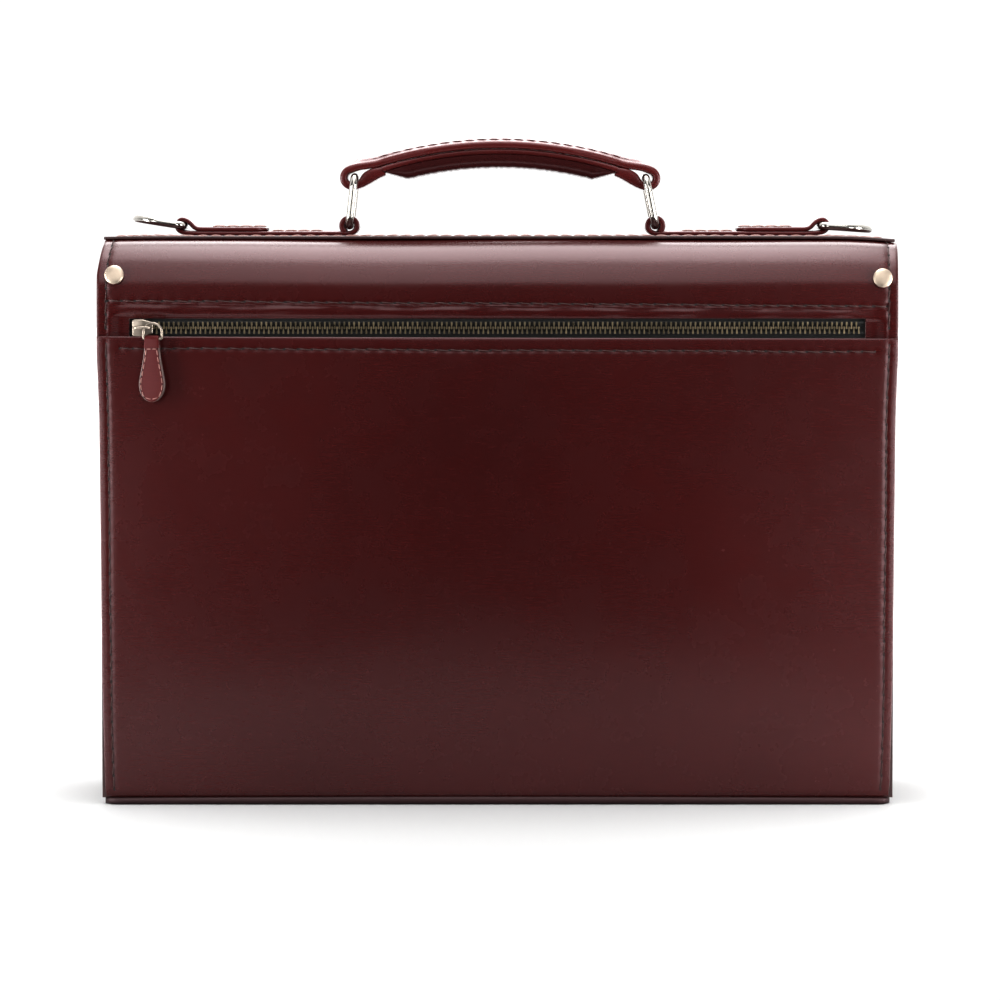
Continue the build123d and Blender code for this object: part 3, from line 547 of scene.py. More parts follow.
def tube(name, path, radius, materials, sides=20):
    """Closed ring of round bar along a path of points in mm that lies in one plane."""
    path = np.asarray(path, float)
    rows = len(path)
    tangent = unit(np.roll(path, -1, 0) - np.roll(path, 1, 0))
    out = unit(np.cross(path[rows // 3] - path[0], path[2 * rows // 3] - path[0]))
    side = np.cross(tangent, out)
    angles = np.arange(sides) * math.tau / sides
    points = (
        path[:, None, :]
        + radius * np.cos(angles)[None, :, None] * side[:, None, :]
        + radius * np.sin(angles)[None, :, None] * out
    ).reshape(-1, 3)
    faces = []
    for k in range(rows):
        for j in range(sides):
            a, b = k * sides + j, k * sides + (j + 1) % sides
            c, d = (b + sides) % (rows * sides), (a + sides) % (rows * sides)
            faces.append((a, d, c, b))
    return make_mesh(name, points, faces, materials, sharp=50)


def loft(name, rings, materials, slot_of=None, sharp=32):
    """Closed body through rings of as many points each. slot_of(j) gives the material after point j."""
    rings = np.asarray(rings, float)
    rows, sides = rings.shape[:2]
    faces = ring_faces(rows, sides)
    slots = [slot_of(j) if slot_of else 0 for j in range(sides)] * (rows - 1)
    faces.append(tuple(reversed(range(sides))))
    faces.append(tuple((rows - 1) * sides + j for j in range(sides)))
    slots += [1 if len(materials) > 1 else 0] * 2
    volume = 0.0
    flat = rings.reshape(-1, 3)
    for f in faces[:-2]:
        volume += float(np.dot(flat[f[0]], np.cross(flat[f[1]], flat[f[2]])))
        volume += float(np.dot(flat[f[0]], np.cross(flat[f[2]], flat[f[3]])))
    if volume < 0:
        faces = [tuple(reversed(f)) for f in faces]
    return make_mesh(name, flat, faces, materials, slots, sharp)


def strap_section(half, thick, crown, rounding, count=15):
    """Cross-section of a strap: (across, up) round its rim, first the count points of its top."""

    def corner(side, level, first, last):
        middle = (side * (half - rounding), level * (thick / 2 - rounding))
        return [
            (middle[0] + rounding * math.cos(a * DEG), middle[1] + rounding * math.sin(a * DEG))
            for a in range(first, last - 1, -30)
        ]

    across = np.linspace(-1, 1, count)
    shape = [(a * (half - rounding), thick / 2 + crown * (1 - a * a)) for a in across]
    shape += corner(1, 1, 60, 0) + corner(1, -1, 0, -90)
    shape += [(a * (half - rounding), -thick / 2) for a in across[::-1][1:-1]]
    shape += corner(-1, -1, -90, -180) + corner(-1, 1, 180, 120)
    return np.array(shape)


def swept_rings(line, outs, sections, place):
    """Sections set across a line in the XZ plane. outs point out of the strap's upper face."""
    rings = []
    for (a, b), out, section in zip(line, outs, sections):
        centre = place(a, b)
        centre = np.array([centre[0], HARDWARE_Y, centre[1]])
        side = section[:, 0][:, None] * np.array([0, 1.0, 0])
        rings.append(centre + side + section[:, 1][:, None] * np.array([out[0], 0, out[1]]))
    return rings


def line_normals(line):
    """Normals to the left of a line in a plane."""
    tangent = unit(np.gradient(line, axis=0))
    return np.stack([-tangent[:, 1], tangent[:, 0]], 1)


def smooth_line(points, step, rounds=3):
    """Even, softened copy of a polyline that keeps its ends."""
    points = np.asarray(points, float)
    run = run_of(points)
    stations = np.linspace(0, run[-1], max(3, round(run[-1] / step) + 1))
    even = np.stack([np.interp(stations, run, points[:, k]) for k in range(points.shape[1])], 1)
    for _ in range(rounds):
        even[1:-1] = (even[:-2] + 2 * even[1:-1] + even[2:]) / 4
    return even


# ---------------------------------------------------------------- pocket panel on the back
POCKET_TOP = 240.9
POCKET_SLOPE = 0.6  # how much lower the top edge is at the right end than in the middle
SLOPED_FROM = 225.0
POCKET_SEAM_Z = 234.5


def width_at(z):
    """Half width of the bag's back: widest at the top, a little drawn in below."""
    heights = [0, 12, 60, 200, 225, 232, 300]
    return np.interp(z, heights, [201.6, 202.6, 203.6, 204.2, 205.0, HALF, HALF])


def belly(u, v, height, power):
    """Swell of a panel: 1 in its middle and 0 at its sides, foot and head."""
    rise = np.sin(math.pi * np.clip((v - 3) / height, 0, 1)) ** 0.8
    return (1 - np.clip(np.abs(u) / HALF, 0, 1) ** power) * rise


def pocket_place(u, v):
    """Back panel with a soft belly. Its rows slope more and more towards its top edge."""
    share = np.clip((v - SLOPED_FROM) / (POCKET_TOP - SLOPED_FROM), 0, 1)
    v = v - share * POCKET_SLOPE * u / HALF
    x = u * width_at(v) / HALF
    swell = belly(u, v, 238, 2.2)
    y = BACK_Y - 4.6 * swell - 0.35 * ripple(u, v, 190, 3) * swell
    return np.stack([x, y, v], -1), np.stack([0 * x, -np.ones_like(x), 0 * x], -1)


def pocket_relief(u, v):
    """The foot turns in to the groove over the bottom panel, and the sides to the end walls."""
    low = np.clip(1 - (v - BASE) / 3.2, 0, 1)
    near_side = np.clip((np.abs(u) - 197) / 8, 0, 1)
    return -1.3 * low**2 - 0.4 * near_side**2


pocket_seams = [
    Seam((-SEAM_X, 8), (-SEAM_X, 238), seed=11, wave=0.12),
    Seam((SEAM_X, 8), (SEAM_X, 238), seed=12, wave=0.12),
    Seam((-SEAM_X + 7, 235.0), (SEAM_X - 7, 233.9), seed=13, wave=0.15, depth=0.16, pull=0.3),
]
us = steps(-HALF, HALF, 1.5, (-SEAM_X, SEAM_X))
vs = steps(BASE + 0.2, POCKET_TOP, 2.0, (POCKET_SEAM_Z,))
pocket = Sheet(us, vs, pocket_place, PANEL, pocket_seams, pocket_relief)
pocket_piece = pocket.build("pocket_panel_leather", [BRIDLE, EDGE, FLESH], edge=0.7)
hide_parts("pocket_panel")
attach(pocket_piece, "case")
lines, hole_shades = pocket.stitches()
pocket_thread = thread_mesh("pocket_thread", lines, [THREAD, HOLE_SHADE], hole_shades=hole_shades)
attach(pocket_thread, "case")

# ---------------------------------------------------------------- cover hide, back half
YOKE_Z = 230.0
ARC_START = BEND_Z - YOKE_Z
ARC_END = ARC_START + BEND * math.pi / 2
HIDE_END = ARC_END + (HARDWARE_Y - BACK_ARC_Y)
YOKE_SEAM = 28.2  # height of the yoke's seam above the sheet's lower edge
WINDOW = (188.5, 10.5, 20.4)  # half length, bottom and top of the zip's window


def end_droop(x):
    """How far the top sinks towards its two ends, more at the right one."""
    return np.clip((np.abs(x) - 172) / 32, 0, 1) ** 2 * (1.0 + 0.55 * np.sign(x))


def top_inset(u, turned):
    """How much narrower the hide gets over the bend: more at the left end than at the right."""
    return np.clip((turned - 8) / 22, 0, 1) * (0.9 - 1.6 * np.sign(u))


def bend_place(u, v, arc_start, arc_end, arc_y, sign):
    """Y, Z and normals of a sheet that goes up a wall, over the rounded edge and along the top."""
    turn = np.clip((v - arc_start) / BEND, 0, math.pi / 2)
    along = np.clip(v - arc_end, 0, None)
    y = arc_y + sign * (-BEND * np.cos(turn) + along)
    z = np.where(v < arc_start, BEND_Z + (v - arc_start), BEND_Z + BEND * np.sin(turn))
    normal = np.stack([0 * u, -sign * np.cos(turn), np.sin(turn)], -1)
    return y, z, normal


def hide_back_place(u, v):
    """Yoke from its lower edge up and over to the middle of the top."""
    y, z, normal = bend_place(u, v, ARC_START, ARC_END, BACK_ARC_Y, 1)
    x = u * (HALF - top_inset(u, v - ARC_START)) / HALF
    z = z - end_droop(x) * np.clip((v - ARC_START) / (ARC_END - ARC_START), 0, 1)
    return np.stack([x, y, z], -1), normal


def step_line(u):
    """Where the yoke's edge lies over the zip's facing: height above the sheet's end."""
    return 26.9 - 1.5 * u / HALF


def hide_back_relief(u, v):
    """The yoke steps down to the zip's facing, with a puffed and wrinkled edge, and leans in above."""
    below = step_line(u) - v
    ends = np.clip((199 - np.abs(u)) / 6, 0, 1)
    drop = -0.6 * np.clip(below / 0.4, 0, 1)
    puff = 0.5 * np.exp(-(((below - 3.0) / 2.0) ** 2))
    lip = -0.7 * np.clip((below - 5.0) / 1.6, 0, 1) ** 2
    crinkle = 0.13 * ripple(u, 3 * v, 22, 5) * np.exp(-(((below - 2.6) / 2.2) ** 2))
    zone = np.clip((below + 0.1) / 0.1, 0, 1) * ends
    bend_zone = np.clip((v - ARC_START + 8) / 20, 0, 1)
    soft = 0.28 * ripple(u, v * 2.5, 150, 8) * bend_zone
    lean_in = -1.5 * np.exp(-(((v - 49) / 14) ** 2))
    return zone * (drop + puff + lip + crinkle) + soft + lean_in


def outside(window):
    """Test for the cells of a sheet that lie outside a window in it."""
    half, low, high = window
    return lambda u, v: ~((np.abs(u) < half) & (v > low) & (v < high))


hide_seams = [
    Seam(
        (-199.6, YOKE_SEAM + 1.45), (199.6, YOKE_SEAM - 1.45),
        seed=21, wave=0.15, depth=0.16, pull=0.3,
    ),
    Seam((-SEAM_X, 2), (-SEAM_X, ARC_END + 2), seed=22, wave=0.1),
    Seam((SEAM_X, 2), (SEAM_X, ARC_END + 2), seed=23, wave=0.1),
]
us = steps(-HALF, HALF, 1.5, (-SEAM_X, SEAM_X, -WINDOW[0], WINDOW[0]), reach=1.8)
vs = steps(0, HIDE_END, 1.5, (26.5, YOKE_SEAM, *WINDOW[1:]), fine_step=0.4)
us, vs = pinned(us, (-WINDOW[0], WINDOW[0])), pinned(vs, WINDOW[1:])
hide_back = Sheet(us, vs, hide_back_place, HIDE, hide_seams, hide_back_relief)
back_piece = hide_back.build("cover_hide_back", [BRIDLE, EDGE, FLESH], outside(WINDOW), edge=0.6)
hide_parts("cover_back", "cover_top")
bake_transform(back_piece)
lines, hole_shades = hide_back.stitches(skip=lambda u, v: v > ARC_END + 2 or (abs(u) > 195 and v < 12))
back_thread = thread_mesh("cover_thread_back", lines, [THREAD, HOLE_SHADE], hole_shades=hole_shades)
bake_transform(back_thread)

# ---------------------------------------------------------------- cover hide, front half and flap
FLAP_BOTTOM = 88.0
FLAP_HALF = 203.0
FLAP_CORNER = 24.0
FLAP_WALL = BEND_Z - FLAP_BOTTOM
FRONT_ARC_END = FLAP_WALL + BEND * math.pi / 2
FRONT_END = FRONT_ARC_END + (FRONT_ARC_Y - HARDWARE_Y)
FLAP_INSET = 4.6  # of the stitches from the flap's edge
LOCK_WINDOW = (11.8, 102.4 - FLAP_BOTTOM, 123.8 - FLAP_BOTTOM)
STEADY = 120.0  # the rows of the sheet are not stretched this far to each side


def flap_half(v):
    """Half width of the flap v above its lower edge, with rounded corners."""
    inset = np.where(
        v < FLAP_CORNER,
        FLAP_CORNER - np.sqrt(np.clip(FLAP_CORNER**2 - (FLAP_CORNER - v) ** 2, 0, None)),
        0,
    )
    heights = [0, FLAP_WALL + 8, FLAP_WALL + 30, FRONT_END]
    return np.interp(v, heights, [FLAP_HALF, HALF - 0.3, TOP_HALF, TOP_HALF]) - inset


def flap_x(u, v):
    """Only the outer parts of a row stretch, so the lock's window stays square."""
    far = (np.abs(u) - STEADY) / (HALF - STEADY)
    stretched = np.sign(u) * (STEADY + far * (flap_half(v) - STEADY))
    return np.where(np.abs(u) < STEADY, u, stretched)


def flap_u(x, v):
    """The sheet's own coordinate of a place beyond the steady part, the reverse of flap_x."""
    share = (np.abs(x) - STEADY) / (flap_half(v) - STEADY)
    return np.sign(x) * (STEADY + share * (HALF - STEADY))


def hide_front_place(u, v):
    """Flap from its lower edge up and over to the middle of the top, uneven away from the lock."""
    y, z, normal = bend_place(u, v, FLAP_WALL, FRONT_ARC_END, FRONT_ARC_Y, -1)
    x = flap_x(u, v)
    z = z - end_droop(x) * np.clip((v - FLAP_WALL) / (FRONT_ARC_END - FLAP_WALL), 0, 1)
    low = np.clip(1 - v / 150, 0, 1)
    clear = np.clip((np.abs(u) - 24) / 60, 0, 1)
    y = y + clear * (0.5 * ripple(u, v, 160, 31) * low + 0.9 * low**2)
    return np.stack([x, y, z], -1), normal


front_seams = [
    Seam((-SEAM_X, FLAP_CORNER + 2), (-SEAM_X, FRONT_ARC_END + 2), seed=32, wave=0.1),
    Seam((SEAM_X, FLAP_CORNER + 2), (SEAM_X, FRONT_ARC_END + 2), seed=33, wave=0.1),
    Seam((-176, FLAP_INSET), (176, FLAP_INSET), seed=34, wave=0.08),
]
us = steps(-HALF, HALF, 1.7, (-SEAM_X, SEAM_X, -LOCK_WINDOW[0], LOCK_WINDOW[0]), reach=1.8)
vs = steps(0, FRONT_END, 2.0, (FLAP_INSET, *LOCK_WINDOW[1:]))
us, vs = pinned(us, (-LOCK_WINDOW[0], LOCK_WINDOW[0])), pinned(vs, LOCK_WINDOW[1:])
hide_front = Sheet(us, vs, hide_front_place, HIDE, front_seams)
front_piece = hide_front.build(
    "cover_hide_front", [BRIDLE, EDGE, FLESH], outside(LOCK_WINDOW), edge=0.6
)
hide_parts("cover_front", "cover_top")
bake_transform(front_piece)


def corner_stitches(sheet, side):
    """Stitches round a lower corner of the flap, between the two straight seams."""
    radius = FLAP_CORNER - FLAP_INSET
    count = round(radius * math.pi / 2 / PITCH)
    made, hole_shade_discs = [], []
    for k in range(count):
        angle = stitch_shares(k, count) * math.pi / 2
        x = side * (FLAP_HALF - FLAP_CORNER) + side * radius * np.sin(angle)
        v = FLAP_CORNER - radius * np.cos(angle)
        base, normal = sheet.surface(flap_u(x, v), v)
        made.append((base + (arch(0.3) - 0.12)[:, None] * normal, normal))
        # A flat dark disc at each stitch's start, painted shade in the awl hole.
        hole_shade_discs.append((base[0] + 0.05 * normal[0], normal[0], unit(base[-1] - base[0])))
    return made, hole_shade_discs


lines, hole_shades = hide_front.stitches(skip=lambda u, v: v > FRONT_ARC_END + 2)
for side in (-1, 1):
    more, hole_shade_discs = corner_stitches(hide_front, side)
    lines += more
    hole_shades += hole_shade_discs
front_thread = thread_mesh("cover_thread_front", lines, [THREAD, HOLE_SHADE], hole_shades=hole_shades)
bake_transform(front_thread)

# ---------------------------------------------------------------- strip along the top
STRIP_HALF = (204.3, 29.0)
STRIP_SHIFT = 1.0
STRIP_SEAM = (199, 25.4)


def strip_place(u, v):
    x = u + STRIP_SHIFT
    z = STRIP_TOP - end_droop(x) + 0.1 * ripple(u, 0 * u, 120, 9)
    return np.stack([x, HARDWARE_Y + v, z], -1), np.stack([0 * u, 0 * u, np.ones_like(u)], -1)


strip_seams = [
    Seam((-STRIP_SEAM[0], v), (STRIP_SEAM[0], v), seed=seed, depth=0.15)
    for v, seed in ((-STRIP_SEAM[1], 41), (STRIP_SEAM[1], 42))
]
us = steps(-STRIP_HALF[0], STRIP_HALF[0], 1.75)
vs = steps(-STRIP_HALF[1], STRIP_HALF[1], 3.0, (-STRIP_SEAM[1], STRIP_SEAM[1]))
strip = Sheet(us, vs, strip_place, 1.7, strip_seams)
strip_piece = strip.build("top_strip_leather", [BRIDLE, EDGE], edge=0.5)
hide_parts("top_strip")
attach(strip_piece, "lid")
lines, hole_shades = strip.stitches()
strip_thread = thread_mesh("strip_thread", lines, [PALE_THREAD, HOLE_SHADE], 0.38, hole_shades=hole_shades)
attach(strip_thread, "lid")


# ---------------------------------------------------------------- looped straps on the strip
STRAP_THICK = 2.2
CURL_T = 2.9  # the strap is thicker where it curls round the handle ring's bar


def right_edge(j, count=15):
    """Whether the face after point j of a strap's section is on its right edge."""
    return count - 1 <= j < count + 6


def looped_strap(side, name, node_name):
    """One band: under and round the handle ring's bar, along, round the D-ring's bar, and back."""
    spacing = 0.9  # of the line's points
    curl = WIRE + 0.65 + CURL_T / 2
    reach = WIRE + 0.45 + STRAP_THICK / 2
    flat = STRIP_TOP + STRAP_THICK / 2 + 0.05
    tail = flat + STRAP_THICK
    line = [
        (RING_BASE_X + curl * math.cos(a * DEG), PIVOT_Z + curl * math.sin(a * DEG))
        for a in range(-54, 271, 12)
    ]
    line.append((RING_BASE_X + 1.5, (flat + PIVOT_Z - curl) / 2))
    line += [(x, flat) for x in np.linspace(RING_BASE_X + 6, D_RING_X - 8, 14)]
    line.append((D_RING_X - 3.0, flat + 0.25))
    line += [
        (D_RING_X + reach * math.cos(a * DEG), PIVOT_Z + reach * math.sin(a * DEG))
        for a in range(-90, 111, 12)
    ]
    line += [
        (D_RING_X - reach * 1.08, PIVOT_Z + 1.3),
        (D_RING_X - reach * 1.55, tail + 0.8),
        (D_RING_X - reach * 2.3, tail + 0.08),
        (D_RING_X - 26, tail + 0.06),
        (D_RING_X - 44, tail + 0.06),
    ]
    line = smooth_line(line, spacing, 4)
    outs = line_normals(line) * [side, 1]
    line = line * [side, 1] + [HARDWARE_X, 0]
    count = len(line)
    halves = np.full(count, 9.0)
    halves[-9:] -= 2.6 * np.linspace(0, 1, 9) ** 2
    curl_end = curl * 5.6 / spacing
    thicks = np.interp(np.arange(count), [curl_end - 6, curl_end], [CURL_T, STRAP_THICK])
    thicks[-6:] = np.linspace(STRAP_THICK, 1.2, 6)
    sections = [strap_section(half, thick, 0.25, 0.75) for half, thick in zip(halves, thicks)]
    rings = swept_rings(line, outs, sections, lambda x, z: (x, z))
    obj = loft(name, rings, [STRAP, EDGE], right_edge, 40)
    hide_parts(node_name)
    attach(obj, "lid")


def strap_threads(name, runs):
    """Two rows of pale stitches on a strap's top, each run (x0, x1, z)."""
    up, along = np.array([0.0, 0, 1]), np.array([1.0, 0, 0])
    made, hole_shade_discs = [], []
    for x0, x1, z in runs:
        count = max(1, round(abs(x1 - x0) / PITCH))
        for off in (-6.4, 6.4):
            for k in range(count):
                x = x0 + (x1 - x0) * stitch_shares(k, count)
                y = HARDWARE_Y + off + 0.25 * (1 - 2 * STITCH)
                made.append((np.stack([x, y, z + arch(0.38) - 0.05], -1), np.tile(up, (6, 1))))
                # Painted shade: a flat dark disc at each awl hole.
                hole = np.array([x0 + (x1 - x0) * k / count, HARDWARE_Y + off, z + 0.04])
                hole_shade_discs.append((hole, up, along))
    obj = thread_mesh(name, made, [PALE_THREAD, HOLE_SHADE], 0.36, hole_shades=hole_shade_discs)
    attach(obj, "lid")


for side, word in ((-1, "left"), (1, "right")):
    looped_strap(side, f"strap_{word}_leather", f"strap_{word}")
    low = STRIP_TOP + STRAP_THICK + 0.27
    runs = [
        (HARDWARE_X + side * (RING_BASE_X + 14), HARDWARE_X + side * (D_RING_X - 46), low),
        (HARDWARE_X + side * (D_RING_X - 43), HARDWARE_X + side * (D_RING_X - 15), low + 2.26),
    ]
    strap_threads(f"strap_{word}_thread", runs)


# ---------------------------------------------------------------- rings
def rounded_path(corners, radius, closed=True, arc_step=9):
    """Plane path through corners with round bends, as (along, across) points."""
    corners = [np.array(c, float) for c in corners]
    total = len(corners)
    path = []
    for k, here in enumerate(corners):
        if not closed and k in (0, total - 1):
            path.append(here)
            continue
        to_back = corners[k - 1] - here
        to_next = corners[(k + 1) % total] - here
        to_back = unit(corners[k - 1] - here)
        to_next = unit(corners[(k + 1) % total] - here)
        turn = math.acos(np.clip(np.dot(to_back, to_next), -1, 1))
        cut = radius / math.tan(turn / 2)
        centre = here + unit(to_back + to_next) * (radius / math.sin(turn / 2))
        start = here + to_back * cut - centre
        end = here + to_next * cut - centre
        first = math.atan2(start[1], start[0])
        last = math.atan2(end[1], end[0])
        sweep = (last - first + math.pi) % math.tau - math.pi
        count = max(2, round(abs(sweep) / (arc_step * DEG)))
        for i in range(count + 1):
            a = first + sweep * i / count
            path.append(centre + radius * np.array([math.cos(a), math.sin(a)]))
    return np.array(path)


def place_ring(path, x, angle):
    """Ring path with across along Y, leaning towards +X by an angle in degrees."""
    lean = np.array([math.sin(angle * DEG), 0, math.cos(angle * DEG)])
    origin = np.array([x, HARDWARE_Y, PIVOT_Z])
    return origin + path[:, 0][:, None] * lean + path[:, 1][:, None] * np.array([0, 1.0, 0])


LEFT_LEAN = 6.4
RIGHT_LEAN = -11.4
RING_CORNER = 5.0
handle_ring_path = rounded_path(
    [(0, -RING_HALF), (RING_PITCH, -RING_HALF), (RING_PITCH, RING_HALF), (0, RING_HALF)], RING_CORNER
)
bow_middle = RING_PITCH - RING_HALF
d_bar = rounded_path(
    [(bow_middle, -RING_HALF), (0, -RING_HALF), (0, RING_HALF), (bow_middle, RING_HALF)],
    RING_CORNER,
    closed=False,
)
d_bow = [
    (bow_middle + RING_HALF * math.cos(a * DEG), RING_HALF * math.sin(a * DEG))
    for a in range(84, -85, -6)
]
d_path = np.concatenate([d_bar, d_bow])

for name, path, x, angle in (
    ("handle_ring_left", handle_ring_path, HARDWARE_X - RING_BASE_X, LEFT_LEAN),
    ("handle_ring_right", handle_ring_path, HARDWARE_X + RING_BASE_X, RIGHT_LEAN),
    ("d_ring_left", d_path, HARDWARE_X - D_RING_X, -81.0),
    ("d_ring_right", d_path, HARDWARE_X + D_RING_X, 94.0),
):
    ring = tube(f"{name}_wire", place_ring(path, x, angle), WIRE, [NICKEL], sides=24)
    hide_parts(name)
    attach(ring, name)

# ---------------------------------------------------------------- handle
ARC = 210.0  # radius of the strap's outer face
RISE = 18.9  # of that face over the line between the rings' bars
ARC_W = RISE - ARC
STRAP_T = 3.8
LINER_T = 3.2
GRIP_T = 7.1
LINER_HALF = 60.0
SLOT_TILT = -14 * DEG
LOOP_T = 4.0  # the strap's thickness round the rings' bars
LOOP_RUN = 1.45  # half the straight part of the loop, where the bar can shift
LOOP_MID = 2.5 + LOOP_T / 2
CROWN = 3.0
EDGE_HOLD = 1.3  # rounding of the strap's edges


def ring_top(x, angle):
    """XZ of the centre of a handle ring's upper bar."""
    return np.array(
        [x + RING_PITCH * math.sin(angle * DEG), PIVOT_Z + RING_PITCH * math.cos(angle * DEG)]
    )


left_top = ring_top(HARDWARE_X - RING_BASE_X, LEFT_LEAN)
right_top = ring_top(HARDWARE_X + RING_BASE_X, RIGHT_LEAN)
middle = (left_top + right_top) / 2
span = float(np.linalg.norm(right_top - left_top))
h_along = (right_top - left_top) / span
h_up = np.array([-h_along[1], h_along[0]])
end_turn = math.asin(span / 2 / ARC)
liner_turn = math.asin(LINER_HALF / (ARC - STRAP_T - LINER_T))
arc_run = ARC * end_turn


def handle_point(a, w):
    """XZ of a point a along the handle and w above the line between its pivots."""
    a = np.asarray(a, float)[..., None]
    w = np.asarray(w, float)[..., None]
    return middle + a * h_along + w * h_up


def arc_point(radius, angle):
    return (radius * math.sin(angle), ARC_W + radius * math.cos(angle))


def strap_half_at(s):
    """Half width of the strap s from its middle: narrower at its ends."""
    return np.interp(np.abs(s), [0, 38, 62, 200], [12.0, 12.0, 9.5, 9.5])


def handle_half():
    """Right half of the strap's centreline: along the arc, round the ring's bar and back under."""
    top_radius = ARC - STRAP_T / 2
    points = [arc_point(top_radius, t) for t in np.linspace(0, end_turn - 0.055, 26)]
    along = np.array([math.cos(SLOT_TILT), math.sin(SLOT_TILT)])
    up = np.array([-along[1], along[0]])
    centre = np.array([span / 2, 0.0])
    points.append(centre - along * 3.0 + up * (LOOP_MID + 0.35))
    for a in range(80, -91, -10):
        spoke = math.cos(a * DEG) * along + math.sin(a * DEG) * up
        points.append(centre + along * LOOP_RUN + LOOP_MID * spoke)
    points.append(centre - along * LOOP_RUN - up * LOOP_MID)
    for inward, lift in ((4.3, -2.7), (6.7, -0.2), (11.0, 2.0), (15.6, 3.2)):
        points.append((span / 2 - inward, lift))
    return np.array(points)


def handle_rings(line, outs, halves, thicks, crowns, rounding=EDGE_HOLD):
    sections = [
        strap_section(half, thick, crown, min(rounding, thick * 0.42))
        for half, thick, crown in zip(halves, thicks, crowns)
    ]
    return swept_rings(line, outs @ np.stack([h_along, h_up]), sections, handle_point)


half_line = smooth_line(handle_half(), 1.3, 2)
whole = np.concatenate([half_line[::-1] * [-1, 1], half_line[1:]])
run = run_of(whole)
from_middle = np.abs(run - run[-1] / 2)
from_end = run[-1] / 2 - from_middle
on_top = np.clip((arc_run + 3 - from_middle) / 9, 0, 1)
on_top = on_top * on_top * (3 - 2 * on_top)
returned = np.interp(from_end, [0, 2, 6, 10, 12.5, 15], [0.7, 1.3, 2.4, 2.5, 1.2, 0])
thick_at = LOOP_T + (STRAP_T - LOOP_T) * on_top + returned
crown_at = 0.25 + (CROWN - 0.25) * on_top
rings = handle_rings(whole, line_normals(whole), strap_half_at(from_middle), thick_at, crown_at)
handle_strap = loft("handle_strap_leather", rings, [STRAP, STRAP], sharp=50)
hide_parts("handle_strap")
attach(handle_strap, "handle")

count = 60
angles = np.linspace(-(liner_turn + 0.004), liner_turn + 0.004, count)
line = [arc_point(ARC - STRAP_T - LINER_T / 2 - 0.15, a) for a in angles]
outs = np.stack([np.sin(angles), np.cos(angles)], 1)
rings = handle_rings(line, outs, [10.3] * count, [LINER_T - 0.25] * count, [0.0] * count, 0.9)
liner = loft("handle_liner_leather", rings, [STRAP, EDGE], sharp=50)
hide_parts("handle_liner")
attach(liner, "handle")


def grip_rings():
    """Padded grip under the handle: flat where it meets the liner, full and round below."""
    top = ARC - STRAP_T - LINER_T - 0.1
    full = math.asin(48.0 / (top - GRIP_T))
    rings = []
    for angle in np.linspace(-liner_turn, liner_turn, 90):
        share = np.clip((liner_turn - abs(angle)) / (liner_turn - full), 0, 1)
        depth = 0.5 + (GRIP_T - 0.5) * share**0.85
        depth += 0.14 * math.sin(angle * 320 + 1.3 * math.sin(angle * 95)) * share
        half = 10.6 + 0.9 * share
        ring = []
        for a in np.linspace(-math.pi / 2, math.pi / 2, 28):
            across = math.copysign(half * abs(math.sin(a)) ** 0.55, math.sin(a))
            ring.append((across, -depth * max(0.0, math.cos(a)) ** 0.62))
        for k in range(1, 12):
            ring.append((half * (1 - 2 * k / 12) * 0.985, -0.02))
        out = math.sin(angle) * h_along + math.cos(angle) * h_up
        rings += swept_rings([arc_point(top, angle)], [out], [np.array(ring)], handle_point)
    return rings


grip = loft("handle_grip_padding", grip_rings(), [GRIP, GRIP], sharp=55)
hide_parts("handle_grip", "handle_core")
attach(grip, "handle")


def handle_threads():
    """Stitches near both edges of the crowned strap."""
    inset = 3.0
    reach = arc_run - 7
    count = round(2 * reach / 6.5)
    made, hole_shade_discs = [], []
    for off in (-1, 1):
        for k in range(count):
            s = (2 * stitch_shares(k, count) - 1) * reach
            angle = s / ARC
            half = strap_half_at(s)
            across = off * (half - inset) + 0.2 * (1 - 2 * STITCH)
            crown = CROWN * (1 - (across / (half - EDGE_HOLD)) ** 2)
            rise = ARC + crown + arch(0.3) - 0.15
            xz = handle_point(rise * np.sin(angle), ARC_W + rise * np.cos(angle))
            path = np.stack([xz[:, 0], HARDWARE_Y + across, xz[:, 1]], -1)
            out = np.sin(angle)[:, None] * h_along + np.cos(angle)[:, None] * h_up
            normal = unit(np.stack([out[:, 0], 0.45 * off + 0 * angle, out[:, 1]], -1))
            made.append((path, normal))
            # A flat dark disc at each stitch's start, painted shade in the awl hole.
            hole_shade_discs.append((path[0] + 0.1 * normal[0], normal[0], unit(path[-1] - path[0])))
    return made, hole_shade_discs


lines, hole_shades = handle_threads()
handle_thread = thread_mesh("handle_thread", lines, [THREAD, HOLE_SHADE], 0.24, hole_shades=hole_shades)
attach(handle_thread, "handle")

# ---------------------------------------------------------------- zip
CHAIN = 5.5
TOOTH_PITCH = 2.5
TOOTH_COUNT = 147
TEETH_START = -181.0
TAPE_HALF = 191.0
SLIDER_X = -187.0  # the slider's left end
PULL_X = -176.2  # middle of the pull ring and its fob
PULL_Y = -52.4
BAR_Z = 240.2  # lower bar of the pull ring


